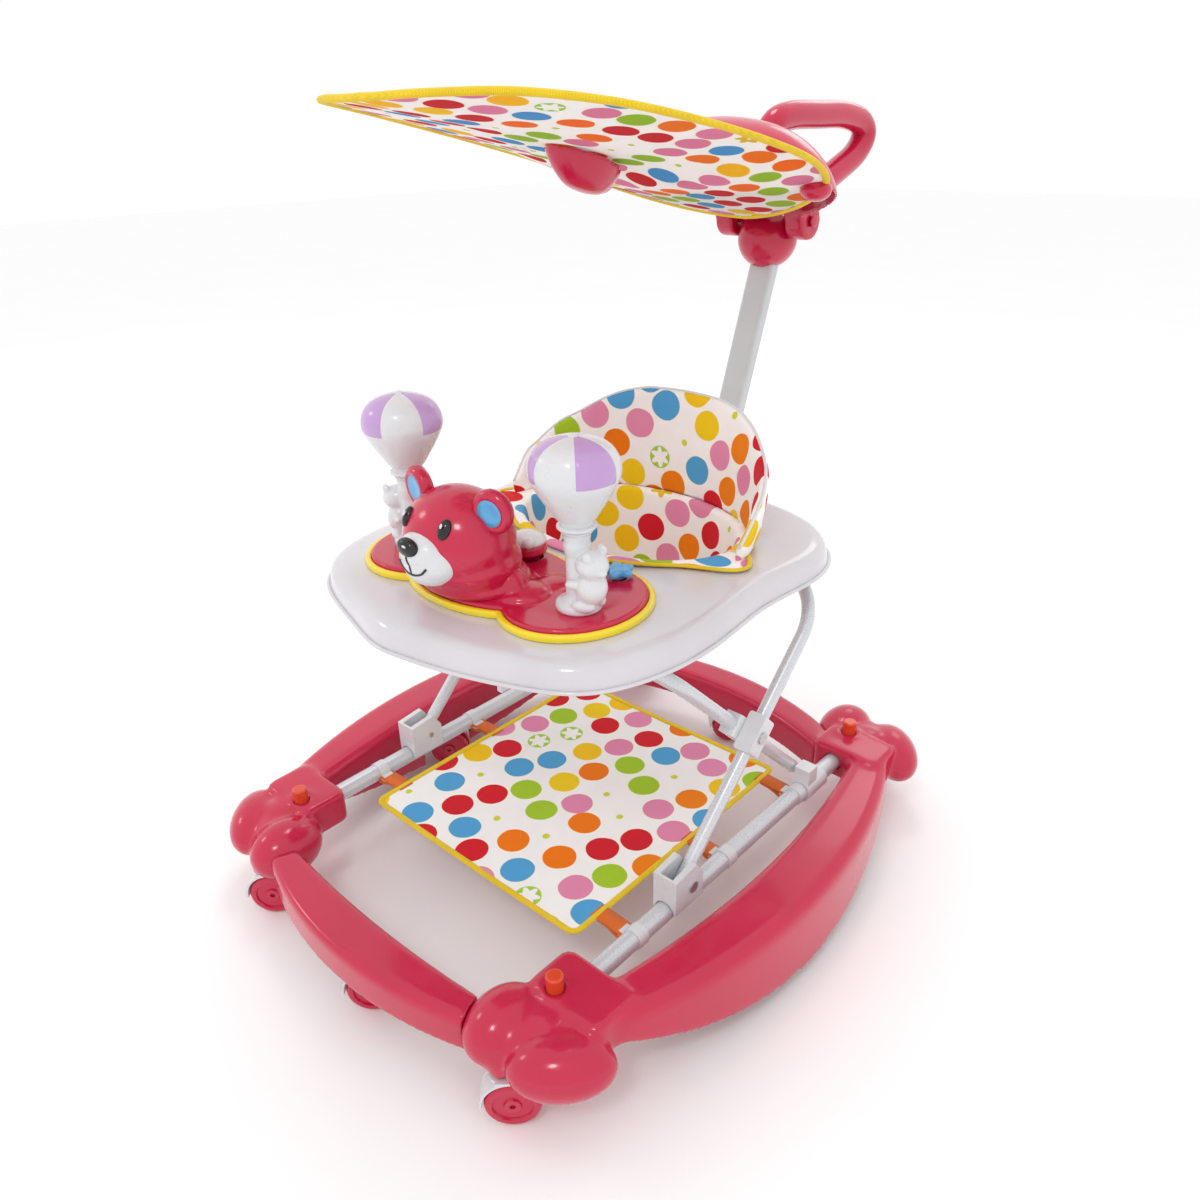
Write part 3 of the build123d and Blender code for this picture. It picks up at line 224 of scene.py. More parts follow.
def print_fabric(name, pitch, turn, ground, light=0.0, offset=(0, 0), size=0.395):
    """Cotton printed with dots, small dots, star flowers and ring flowers."""
    n = Nodes(name, ground, 0.8)
    uv = n.node("ShaderNodeUVMap", uv_map="cloth").outputs[0]
    place = n.node("ShaderNodeMapping")
    place.inputs["Location"].default_value = (offset[0], offset[1], 0)
    place.inputs["Rotation"].default_value = (0, 0, turn)
    place.inputs["Scale"].default_value = (1 / pitch, 1 / pitch, 1)
    n.link(uv, place.inputs["Vector"])
    cells = n.node("ShaderNodeTexVoronoi", voronoi_dimensions="2D", feature="F1")
    cells.inputs["Scale"].default_value = 1.0
    cells.inputs["Randomness"].default_value = 0.20
    wobble = n.node("ShaderNodeTexNoise")
    wobble.inputs["Scale"].default_value = 1.4
    n.link(place.outputs[0], wobble.inputs["Vector"])
    push = n.node("ShaderNodeVectorMath", operation="MULTIPLY_ADD")
    push.inputs[1].default_value = (0.07, 0.07, 0)
    n.link(wobble.outputs["Color"], push.inputs[0])
    n.link(place.outputs[0], push.inputs[2])
    n.link(push.outputs[0], cells.inputs["Vector"])
    random = n.node("ShaderNodeSeparateColor")
    n.link(cells.outputs["Color"], random.inputs[0])
    pick, kind = random.outputs[0], random.outputs[1]
    away = n.node("ShaderNodeVectorMath", operation="SUBTRACT")
    n.link(push.outputs[0], away.inputs[0])
    n.link(cells.outputs["Position"], away.inputs[1])
    split = n.node("ShaderNodeSeparateXYZ")
    n.link(away.outputs[0], split.inputs[0])
    angle = n.math("ARCTAN2", split.outputs[1], split.outputs[0])
    radius = cells.outputs["Distance"]
    petal = n.math("MULTIPLY_ADD", n.math("COSINE", n.math("MULTIPLY", angle, 6.0)), 0.065, 0.30)

    def inside(edge, soft=0.012):
        """1 within an edge radius, given as a number or a socket."""
        gap = n.math("SUBTRACT", edge, radius)
        return n.math("DIVIDE", gap, soft, clamp=True)

    def window(low, high):
        return n.math("MULTIPLY", n.math("GREATER_THAN", kind, low), n.math("LESS_THAN", kind, high))

    is_star = window(-0.1, 0.04)
    is_ring = window(0.04, 0.08)
    is_small = window(0.08, 0.13)
    is_dot = n.math("GREATER_THAN", kind, 0.13)
    step = 1.0 / len(DOT_COLOURS)
    paint = n.ramp(pick, [(i * step, c) for i, c in enumerate(DOT_COLOURS)], "CONSTANT")
    halo = n.mix(0.55, ground, (0.95, 0.90, 0.62))
    colour = n.mix(n.math("MULTIPLY", is_dot, inside(size + 0.025)), ground, halo)
    colour = n.mix(n.math("MULTIPLY", is_dot, inside(size)), colour, paint)
    colour = n.mix(n.math("MULTIPLY", is_star, inside(petal)), colour, (0.78, 0.55, 0.02))
    colour = n.mix(n.math("MULTIPLY", is_star, inside(0.07)), colour, ground)
    colour = n.mix(n.math("MULTIPLY", is_ring, inside(0.34)), colour, (0.40, 0.62, 0.05))
    inner = n.math("SUBTRACT", petal, 0.05)
    colour = n.mix(n.math("MULTIPLY", is_ring, inside(inner)), colour, ground)
    colour = n.mix(n.math("MULTIPLY", is_small, inside(0.10)), colour, (0.62, 0.66, 0.04))
    threads = weave(n, uv)
    shadow = n.math("MULTIPLY_ADD", threads, 0.06, 0.97)
    soil = n.math("MULTIPLY_ADD", n.noise(24.0, 4.0, uv), 0.08, 0.97)
    tone = n.math("MULTIPLY", shadow, soil)
    grey = n.node("ShaderNodeCombineColor")
    for socket in grey.inputs[:3]:
        n.link(tone, socket)
    colour = n.mix(1.0, colour, grey.outputs[0], "MULTIPLY")
    n.link(colour, n.shader.inputs["Base Color"])
    n.shader.inputs["Sheen Weight"].default_value = 0.05
    n.shader.inputs["Sheen Roughness"].default_value = 0.5
    n.shader.inputs["Specular IOR Level"].default_value = 0.15
    if light:
        glow = n.node("ShaderNodeBsdfTranslucent")
        n.link(colour, glow.inputs["Color"])
        blend = n.node("ShaderNodeMixShader")
        blend.inputs[0].default_value = light
        n.link(n.shader.outputs[0], blend.inputs[1])
        n.link(glow.outputs[0], blend.inputs[2])
        out = n.tree.nodes["Material Output"]
        n.link(blend.outputs[0], out.inputs["Surface"])
    return n.mat


MAGENTA = (0.56, 0.008, 0.052)
mats = {
    "magenta": plastic("magenta_plastic", MAGENTA, 0.19, 0.22, 0.10),
    "white": plastic("white_plastic", (0.71, 0.715, 0.735), 0.28, 0.25, 0.12, 0.02),
    "tray_white": plastic("tray_plastic", (0.66, 0.635, 0.67), 0.16, 0.4, 0.06, 0.05),
    "orange": plastic("orange_plastic", (0.72, 0.055, 0.010), 0.25, 0.4),
    "yellow": plastic("yellow_plastic", (0.90, 0.70, 0.012), 0.25, 0.4),
    "blue": plastic("blue_plastic", (0.09, 0.40, 0.74), 0.28, 0.4),
    "black": plastic("black_plastic", (0.006, 0.006, 0.007), 0.16, 0.15, 0.05),
    "lilac": plastic("lilac_plastic", (0.52, 0.32, 0.62), 0.24, 0.4),
    "post": plastic("post_enamel", (0.60, 0.63, 0.65), 0.35, 0.2, 0.05),
    "tube": painted_tube("tube_enamel", (0.68, 0.70, 0.73)),
    "steel": steel("pin_steel"),
    "binding": tape("yellow_binding", (0.86, 0.60, 0.010)),
    "strap": tape("orange_webbing", (0.80, 0.16, 0.015)),
    "print": print_fabric("seat_print", 0.043, 0.62, (0.95, 0.935, 0.92), size=0.425),
    "mat_print": print_fabric("mat_print", 0.0475, 0.50, (0.93, 0.91, 0.89), 0.0, (0.3, 0.7), 0.425),
    "canopy_print": print_fabric("canopy_print", 0.038, 0.35, (0.93, 0.92, 0.90), 0.35, (0.1, 0.2), 0.43),
}


# ---------------------------------------------------------------- mesh tools
def place(name, mesh, body, *materials, replaces=()):
    """Put a finished mesh in the scene, give it its finish and its body."""
    obj = bpy.data.objects.new(name, mesh)
    scene.collection.objects.link(obj)
    shades = [p.material_index for p in mesh.polygons] if len(materials) > 1 else None
    mesh.materials.clear()
    for key in materials:
        mesh.materials.append(mats[key])
    if shades:
        mesh.polygons.foreach_set("material_index", shades)
    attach(obj, body)
    if replaces:
        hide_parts(*replaces)
    return obj


def smooth(mesh):
    mesh.polygons.foreach_set("use_smooth", [True] * len(mesh.polygons))
    mesh.update()
    return mesh


def mesh_of(name, points, faces, uvs=None, shades=None):
    mesh = bpy.data.meshes.new(name)
    mesh.from_pydata([tuple(p) for p in points], [], faces)
    if uvs is not None:
        layer = mesh.uv_layers.new(name="cloth")
        loops = np.empty(len(mesh.loops), dtype=np.int32)
        mesh.loops.foreach_get("vertex_index", loops)
        layer.data.foreach_set("uv", np.asarray(uvs, dtype=np.float32)[loops].ravel())
    if shades is not None:
        mesh.polygons.foreach_set("material_index", shades)
    return smooth(mesh)


def grid(name, rows, uvs=None, wrap=False, cap=False, shades=None):
    """Mesh from equal rows of points; wrap closes each row, cap closes both ends."""
    count = len(rows[0])
    points = [p for row in rows for p in row]
    faces = []
    reach = count if wrap else count - 1
    for i in range(len(rows) - 1):
        for j in range(reach):
            k = (j + 1) % count
            faces.append((i * count + j, i * count + k, (i + 1) * count + k, (i + 1) * count + j))
    if cap:
        faces.append(tuple(reversed(range(count))))
        faces.append(tuple(range((len(rows) - 1) * count, len(rows) * count)))
    flat = None if uvs is None else [p for row in uvs for p in row]
    return mesh_of(name, points, faces, flat, shades)


def bake(obj, name=None):
    """The object's mesh with its modifiers applied; the object is removed."""
    bpy.context.view_layer.update()
    graph = bpy.context.evaluated_depsgraph_get()
    mesh = bpy.data.meshes.new_from_object(obj.evaluated_get(graph), depsgraph=graph)
    mesh.name = name or obj.name
    bpy.data.objects.remove(obj)
    return mesh


def loose(mesh):
    obj = bpy.data.objects.new(mesh.name + "_raw", mesh)
    scene.collection.objects.link(obj)
    return obj


def soften(mesh, voxel, rounds, name, factor=0.5):
    """Fuse overlapping shells to one skin and melt its joints together."""
    obj = loose(mesh)
    fuse = obj.modifiers.new("fuse", "REMESH")
    fuse.mode = "VOXEL"
    fuse.voxel_size = voxel
    melt = obj.modifiers.new("melt", "SMOOTH")
    melt.factor = factor
    melt.iterations = rounds
    return smooth(bake(obj, name))


def node_mesh(*nodes):
    """Copies of CAD nodes' meshes joined in one mesh."""
    made = bmesh.new()
    for node in nodes:
        made.from_mesh(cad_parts[node].data)
    mesh = bpy.data.meshes.new("copy_" + nodes[0])
    made.to_mesh(mesh)
    made.free()
    return mesh


def join(*meshes):
    made = bmesh.new()
    for mesh in meshes:
        made.from_mesh(mesh)
    mesh = bpy.data.meshes.new("joined")
    made.to_mesh(mesh)
    made.free()
    return mesh


def ball(centre, radii, turn=None, rings=24):
    """Smooth ellipsoid as raw material for a fused skin."""
    made = bmesh.new()
    bmesh.ops.create_uvsphere(made, u_segments=2 * rings, v_segments=rings, radius=1.0)
    matrix = Matrix.Diagonal((*[r / 1000 for r in radii], 1))
    if turn is not None:
        matrix = turn @ matrix
    made.transform(Matrix.Translation(P(*centre)) @ matrix)
    mesh = bpy.data.meshes.new("ball")
    made.to_mesh(mesh)
    made.free()
    return mesh


def turn_about(axis, degrees):
    return Matrix.Rotation(math.radians(degrees), 4, axis)


def lathe(name, profile, centre, turn=None, sides=64, shades=None, ripple=None):
    """Solid turned about +Z from (radius, height) pairs in millimetres."""
    rows = []
    for radius, height in profile:
        row = []
        for j in range(sides):
            angle = 2 * math.pi * j / sides
            r = radius * (ripple(angle, height) if ripple else 1.0)
            p = Vector((r * math.cos(angle), r * math.sin(angle), height)) / 1000
            if turn is not None:
                p = turn @ p
            row.append(p + P(*centre))
        rows.append(row)
    return grid(name, rows, wrap=True, cap=True, shades=shades)


def catmull(points, steps):
    """Smooth run of points through the given ones."""
    points = [Vector(p) for p in points]
    count = len(points)
    out = []
    for i in range(count - 1):
        a, b, c, d = (points[min(max(i + k - 1, 0), count - 1)] for k in range(4))
        for s in range(steps):
            t = s / steps
            out.append(
                0.5 * ((2 * b) + (c - a) * t + (2 * a - 5 * b + 4 * c - d) * t * t
                       + (3 * b - a - 3 * c + d) * t ** 3)
            )
    out.append(points[-1])
    return out


def tube(name, path, radius, sides=12, closed=False, flat=1.0, up=Vector((0, 0, 1))):
    """Tube along a path of scene points; radius in millimetres, number or function."""
    count = len(path)
    rows = []
    side = None
    for i, p in enumerate(path):
        before = path[i - 1] if (closed or i > 0) else path[i]
        after = path[(i + 1) % count] if (closed or i < count - 1) else path[i]
        along = (after - before).normalized()
        side = along.cross(up)
        if side.length < 0.05:
            side = along.cross(Vector((1, 0, 0)))
        side.normalize()
        rise = side.cross(along)
        r = (radius(i / (count - 1)) if callable(radius) else radius) / 1000
        rows.append([
            p + side * (r * math.cos(2 * math.pi * j / sides))
            + rise * (r * flat * math.sin(2 * math.pi * j / sides))
            for j in range(sides)
        ])
    if closed:
        rows.append(rows[0])
        mesh = grid(name, rows, wrap=True)
        made = bmesh.new()
        made.from_mesh(mesh)
        bmesh.ops.remove_doubles(made, verts=made.verts, dist=1e-6)
        made.to_mesh(mesh)
        made.free()
        return smooth(mesh)
    return grid(name, rows, wrap=True, cap=True)


def dress(node, key, bevel=0.0):
    """Finish for a CAD node that stays as it is, with softened edges."""
    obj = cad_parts[node]
    obj.data.materials.clear()
    obj.data.materials.append(mats[key])
    if bevel:
        edge = obj.modifiers.new("edge", "BEVEL")
        edge.width = bevel / 1000
        edge.segments = 2
        edge.limit_method = "ANGLE"
        edge.angle_limit = math.radians(35)
        edge.harden_normals = False
    return obj


HEAD = (0.0, -172.0, 493.0)


# ---------------------------------------------------------------- base
# places and radii of the swelling that joins each beam to its corner lobes
BAND = [(206, 327, 33), (221, 321, 33), (235, 311, 31), (247, 299, 29), (255, 285, 28), (260, 268, 27)]
BAND_Z, BAND_HALF = 88.0, 25.5


def build_base():
    for sign, side in ((-1, "left"), (1, "right")):
        node = "rocker_" + side
        # band that carries the beam round into the corner lobe
        band = []
        for x, y, r in BAND:
            for end in (-1, 1):
                band.append(ball((sign * x, end * y, BAND_Z), (r, r, BAND_HALF), rings=16))
        skin = soften(join(node_mesh(node), *band), 0.0028, 30, "rocker_skin_" + side, 0.5)
        place("rocker_skin_" + side, skin, "base", "magenta", replaces=[node])
    for end in ("front", "rear"):
        node = "cross_member_" + end
        skin = soften(node_mesh(node), 0.0026, 12, node + "_skin", 0.5)
        place(node + "_skin", skin, "base", "magenta", replaces=[node])
    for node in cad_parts:
        if node.startswith("button_"):
            dress(node, "orange", 0.4)
        elif node.startswith("caster_wheel"):
            dress(node, "magenta", 0.4)
        elif node.startswith("caster_frame"):
            dress(node, "white", 0.4)
    for node in ("rail_left", "rail_right", "front_leg_frame", "rear_leg_frame"):
        dress(node, "tube")
    dress("push_post", "post", 1.2)
    for node in ("rear_tees", "mat_hooks", "crossing_blocks", "crossing_sleeves", "leg_brackets"):
        dress(node, "white", 0.8)
    for node in ("hinge_clips", "height_racks", "post_socket"):
        dress(node, "tray_white", 0.8)
    for node in ("crossing_pins", "bracket_pins"):
        dress(node, "steel", 0.5)


# ---------------------------------------------------------------- foot mat
MAT_X, MAT_LOW, MAT_HIGH, MAT_Z = 172.0, -206.0, 172.0, 96.3


def mat_height(x, y):
    """Slight sag between the straps, with a faint noise ripple."""
    across = 1 - (x / MAT_X) ** 2
    middle = (MAT_LOW + MAT_HIGH) / 2
    along = 1 - ((y - middle) / (MAT_HIGH - middle)) ** 2
    ripple = noise.noise(Vector((x / 70, y / 70, 3.0))) * 1.2
    return MAT_Z - 3.0 * max(across, 0) * (0.6 + 0.4 * along) + ripple * (0.3 + across)


def build_mat():
    rows, uvs = [], []
    for i in range(61):
        y = MAT_LOW + (MAT_HIGH - MAT_LOW) * i / 60
        row, line = [], []
        for j in range(57):
            x = -MAT_X + 2 * MAT_X * j / 56
            row.append(P(x, y, mat_height(x, y)))
            line.append((x / 1000, y / 1000))
        rows.append(row)
        uvs.append(line)
    mesh = grid("foot_mat_cloth", rows, uvs)
    cloth = place("foot_mat_cloth", mesh, "base", "mat_print", replaces=["foot_mat"])
    corner = 10.0
    edge = []
    for cx, cy, start in (
        (MAT_X - corner, MAT_LOW + corner, -90),
        (MAT_X - corner, MAT_HIGH - corner, 0),
        (-MAT_X + corner, MAT_HIGH - corner, 90),
        (-MAT_X + corner, MAT_LOW + corner, 180),
    ):
        for k in range(7):
            a = math.radians(start + 15 * k)
            edge.append((cx + corner * math.cos(a), cy + corner * math.sin(a)))
    dense = []
    for i, (x, y) in enumerate(edge):
        nx, ny = edge[(i + 1) % len(edge)]
        steps = max(1, int(math.hypot(nx - x, ny - y) / 12))
        dense += [(x + (nx - x) * s / steps, y + (ny - y) * s / steps) for s in range(steps)]
    path = [P(x, y, mat_height(x, y)) for x, y in dense]
    hem = place("foot_mat_binding", tube("foot_mat_binding", path, 4.0, 10, True, 0.45), "base", "binding")
    parts = []
    for side in (-1, 1):
        for y in (-165, -5, 148):
            run = [(166, 96.0), (174, 97.0), (190, 96.2), (203, 95.6), (213, 94.2), (216.5, 91), (213, 87.6),
                   (204, 88.6), (190, 93.4), (176, 95.0)]
            pts = catmull([Vector((x, 0, z)) for x, z in run], 5)
            top, low = [], []
            for i, p in enumerate(pts):
                ahead = pts[min(i + 1, len(pts) - 1)] - pts[max(i - 1, 0)]
                normal = Vector((-ahead.z, 0, ahead.x)).normalized()
                top.append(p + normal * 0.7)
                low.append(p - normal * 0.7)
            rows = []
            for a, b in zip(top, low):
                rows.append([
                    P(side * a.x, y - 10, a.z), P(side * a.x, y + 10, a.z),
                    P(side * b.x, y + 10, b.z), P(side * b.x, y - 10, b.z),
                ])
            parts.append(grid("strap", rows, wrap=True, cap=True))
    place("mat_webbing", smooth(join(*parts)), "base", "strap", replaces=["mat_straps"])


# ---------------------------------------------------------------- tray
def build_tray():
    skin = soften(node_mesh("tray_shell"), 0.0023, 18, "tray_skin", 0.5)
    place("tray_skin", skin, "tray", "tray_white", replaces=["tray_shell"])
    made = bmesh.new()
    made.from_mesh(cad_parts["tray_shell"].data)
    tree = BVHTree.FromBMesh(made)
    low = min(v.co.z for v in made.verts)
    made.free()
    edge = []
    middle = P(0, 0, 0)
    for k in range(10, 351):
        # starts and ends beside the notch for the push post
        a = math.radians(90 + k)
        out = Vector((math.cos(a), math.sin(a), 0))
        hit = tree.ray_cast(Vector((middle.x, middle.y, low + 0.003)) + out, -out)[0]
        if hit and (hit - middle).to_2d().length > 0.17:
            edge.append(Vector((hit.x, hit.y, low + 0.0026)) + out * 0.0004)
    place("tray_lip", tube("tray_lip", edge, 2.3, 10, False, 0.9), "tray", "tray_white")
    rim = soften(node_mesh("console_rim"), 0.0016, 6, "console_rim_skin", 0.5)
    place("console_rim_skin", rim, "tray", "yellow", replaces=["console_rim"])
    deck = node_mesh("console_deck")
    extra = []
    for side in (-1, 1):
        extra += [
            ball((side * 108, -116, 439), (52, 56, 4.5)),
            ball((side * 70, -118, 440), (20, 28, 7)),
            ball((side * 51, -156, 452), (20, 18, 19)),
            ball((side * 62, -150, 443), (30, 26, 9), turn_about("Z", side * 30)),
        ]
        for k in range(4):
            a = math.radians(115 + 22 * k)
            spot = (side * (127 - 34 * math.cos(a - math.pi / 2)), -134 + 34 * math.sin(a - math.pi / 2), 442)
            extra.append(ball(spot, (7, 3.2, 3.0), turn_about("Z", side * (25 + 22 * k))))
    extra.append(ball((0, -150, 438), (84, 52, 12)))
    skin = soften(join(deck, *extra), 0.0018, 5, "console_deck_skin", 0.5)
    place("console_deck_skin", skin, "tray", "magenta", replaces=["console_deck"])


def build_head():
    x, y, z = HEAD
    parts = [
        ball((x, y, z), (62, 54, 54)),
        ball((x, y + 5, z - 22), (64, 53, 36)),
        ball((x, y + 14, z - 44), (66, 54, 16)),
    ]
    head = soften(join(*parts), 0.0020, 18, "bear_head_skin", 0.6)
    place("bear_head_skin", head, "tray", "magenta", replaces=["bear_head"])
    rims, pads = [], []
    for side in (-1, 1):
        tilt = turn_about("Y", side * 16) @ turn_about("Z", side * 12)
        centre = (side * 55, y, z + 41)
        ring = [(4, -7), (14, -7.5), (20, -6), (23, -1), (22.5, 5), (18, 9), (13.5, 7.5), (10, 5), (0.5, 4.6)]
        stand = tilt @ turn_about("X", 90)
        rims.append(lathe("ear", [(0.5, -7)] + ring, centre, stand, 40))
        lining = [(0.4, 4.2), (10, 4.6), (13.6, 6.6), (13.9, 7.8), (9, 6.4), (0.4, 5.8)]
        pads.append(lathe("ear_pad", lining, centre, stand, 36))
    ears = soften(join(*rims), 0.0016, 5, "bear_ears", 0.5)
    place("bear_ears", ears, "tray", "magenta")
    place("bear_ear_linings", smooth(join(*pads)), "tray", "blue", replaces=["bear_ear_pads"])
    lumps = [
        ((0, y - 37, z - 9), (38, 27, 26)),
        ((0, y - 43, z + 1), (29, 24, 20)),
        ((0, y - 38, z - 17), (31, 25, 20)),
    ]
    snout = [ball(centre, radii) for centre, radii in lumps]
    muzzle = soften(join(*snout), 0.0018, 12, "bear_muzzle_skin", 0.6)
    place("bear_muzzle_skin", muzzle, "tray", "white", replaces=["bear_muzzle"])
    nose = ball((0, y - 63.5, z + 10), (13.5, 8, 10), turn_about("X", 14))
    eyes = []
    glints = [ball((4, y - 71.0, z + 14), (3.0, 0.9, 1.5), turn_about("X", 14))]
    for side in (-1, 1):
        turn = turn_about("X", -32) @ turn_about("Z", side * 24)
        eyes.append(ball((side * 28, y - 39.5, z + 27.5), (6.4, 4.6, 10.5), turn))
        glints.append(ball((side * 28 + 1.5, y - 44.4, z + 33), (1.6, 0.9, 2.5), turn_about("X", -30)))
    line = [(0, 1), (0, -8), (0, -18)]
    smile = [(-20, -9), (-14, -15), (-7, -18), (0, -18.6), (7, -18), (14, -15), (20, -9)]

    def on_muzzle(px, pz):
        """Point just proud of the muzzle's front."""
        best = None
        for (_, cy, cz), (a, b, c) in lumps:
            left = 1 - (px / a) ** 2 - ((z + pz - cz) / c) ** 2
            if left > 0:
                front = cy - b * math.sqrt(left)
                best = front if best is None else min(best, front)
        return P(px, (best or y - 55) + 0.4, z + pz)

    marks = []
    for run in (line, smile):
        curve = catmull([Vector((a, b, 0)) for a, b in run], 8)
        marks.append(tube("mark", [on_muzzle(p.x, p.y) for p in curve], 1.3, 8))
    place("bear_features", smooth(join(nose, *eyes, *marks)), "tray", "black", replaces=["bear_eyes_nose"])
    place("bear_glints", smooth(join(*glints)), "tray", "white")


def build_balloons():
    cone = [(15.5, 4), (17, 8), (20.5, 12), (27, 22), (34, 33), (40, 44), (43, 52), (43.5, 58), (42, 66),
            (37, 75), (28, 82), (16, 86.2), (5, 88)]
    profile = [(0.3, 0), (18, 0), (19, 0.8), (19, 3), (16.4, 4)]
    profile += [(p.x, p.y) for p in catmull([Vector((r, h, 0)) for r, h in cone], 4)]
    profile += [(4.0, 89.2), (2.2, 90.2), (0.3, 90.4)]
    sides = 96
    for side, name, phase in ((-1, "left", -65.7), (1, "right", -105.9)):
        seam_turn = math.radians(phase)

        def gores(angle, height):
            """Creases between gores above, framed windows below."""
            if height < 9 or height > 86:
                return 1.0
            seam = abs(math.sin((angle - seam_turn) * 3))
            if height > 50:
                return 1.0 - 0.030 * math.exp(-(seam / 0.10) ** 2)
            frame_edge = math.exp(-((seam - 0.55) / 0.10) ** 2) * math.exp(-((height - 31) / 10) ** 6)
            return 1.0 - 0.018 * frame_edge

        shades = []
        for low, high in zip(profile, profile[1:]):
            middle = (low[1] + high[1]) / 2
            for j in range(sides):
                gore = int((math.degrees(2 * math.pi * (j + 0.5) / sides) - phase) // 60) % 2
                shades.append(1 if 51 < middle < 88 and gore else 0)
        shades += [0, 0]
        mesh = lathe("balloon_skin_" + name, profile, (side * 127, -134, 524), None, sides, shades, gores)
        body = "balloon_" + name[0]
        place("balloon_skin_" + name, mesh, body, "white", "lilac", replaces=["balloon_" + name])
    for side, name in ((-1, "left"), (1, "right")):
        x, y, z = side * 127, -134, 441.0
        column = [(0.4, 0), (22, 0), (23.5, 2), (23, 7), (17, 10), (13, 14), (11.8, 30), (11.8, 55), (13, 60),
                  (13.8, 66), (12.6, 70), (13.8, 78), (16, 80), (16, 82.2), (0.4, 82.2)]
        cub = side * 19
        parts = [
            lathe("column", column, (x, y, z), None, 40),
            ball((x + cub, y - 2, z + 27), (15, 16, 18)),
            ball((x + cub * 1.12, y - 3, z + 51), (16, 16, 14)),
            ball((x + cub * 1.3, y - 14, z + 62), (6, 3.6, 6)),
            ball((x + cub * 1.2, y + 9, z + 63), (6, 3.6, 6)),
            ball((x + cub * 1.75, y - 4, z + 47), (6, 6, 5)),
            ball((x + cub * 0.5, y - 13, z + 31), (11, 5, 5), turn_about("Z", side * 35)),
            ball((x + cub * 0.5, y + 11, z + 33), (11, 5, 5), turn_about("Z", -side * 35)),
            ball((x + cub * 0.9, y - 12, z + 10), (12, 6, 6.5), turn_about("Z", side * 30)),
            ball((x + cub * 0.9, y + 10, z + 11), (12, 6, 6.5), turn_about("Z", -side * 30)),
        ]
        skin = soften(join(*parts), 0.0011, 4, "balloon_stand_skin_" + name, 0.5)
        place("balloon_stand_skin_" + name, skin, "tray", "white", replaces=["balloon_stand_" + name])


DRUM_SIDE = [(0.4, 442), (14.2, 442), (14.2, 447.6), (20.5, 447.8), (21, 449), (20.5, 456), (19.5, 458.5),
             (0.4, 458.5)]
DRUM_CAP = [(0.4, 457.5), (19, 457.5), (20.6, 459), (20.4, 461.2), (18.6, 464.4), (14, 467.4), (8, 469.2),
            (0.4, 469.8)]
DRUM = (0, -80.0, 0)
FLOWER = (113.0, -60.0, 0)
FLOWER_ROWS = [(0.02, 446.2), (0.94, 446.2), (1.0, 447.4), (1.0, 450.5), (0.93, 452.2), (0.6, 453.2),
               (0.35, 452.4), (0.02, 452.2)]
FLOWER_STEM = [(0.4, 441.5), (6.4, 441.5), (6.4, 447), (0.4, 447)]
PETAL_MIDDLE, PETAL_SWING = 14.4, 3.4


def build_buttons():
    side = lathe("drum_side", DRUM_SIDE, DRUM, None, 56)
    place("drum_side", side, "drum", "magenta", replaces=["drum_button"])
    dome = [lathe("drum_dome", DRUM_CAP, DRUM, None, 56)]
    for x in (-16, 16):
        dome.append(ball((x, DRUM[1] - 14, 465), (7, 7, 6.5)))
    place("drum_dome", smooth(join(*dome)), "drum", "white")
    rows = []
    for scale, z in FLOWER_ROWS:
        row = []
        for j in range(80):
            a = 2 * math.pi * j / 80
            r = scale * (PETAL_MIDDLE + PETAL_SWING * math.cos(5 * a))
            row.append(P(FLOWER[0] + r * math.cos(a), FLOWER[1] + r * math.sin(a), z))
        rows.append(row)
    petals = grid("flower_key", rows, wrap=True, cap=True)
    stem = lathe("flower_stem", FLOWER_STEM, FLOWER, None, 32)
    place("flower_key", smooth(join(petals, stem)), "flower", "blue", replaces=["flower_button"])


# ---------------------------------------------------------------- seat
def back_radii(z):
    t = (z - 432) / (566 - 432)
    return 178 + 26 * t, 140 + 10 * t


def back_top(y):
    """Height of the seat back's upper edge at a depth."""
    run = [(50, 434), (62, 446), (100, 486), (150, 521), (200, 562), (216, 565.5)]
    for (y0, z0), (y1, z1) in zip(run, run[1:]):
        if y <= y1:
            t = (y - y0) / (y1 - y0)
            t = t * t * (3 - 2 * t) * 0.35 + t * 0.65
            return z0 + (z1 - z0) * max(t, 0)
    return run[-1][1]


def hem_reach(angle):
    """How far the sling's hem lies out over the tray, as a share of the well."""
    out = 1.075
    for middle, width, gain in ((-90, 46, 0.10), (-15, 15, 0.24), (-165, 15, 0.24)):
        away = (math.degrees(angle) - middle + 180) % 360 - 180
        out += gain * math.exp(-(away / width) ** 2)
    return out


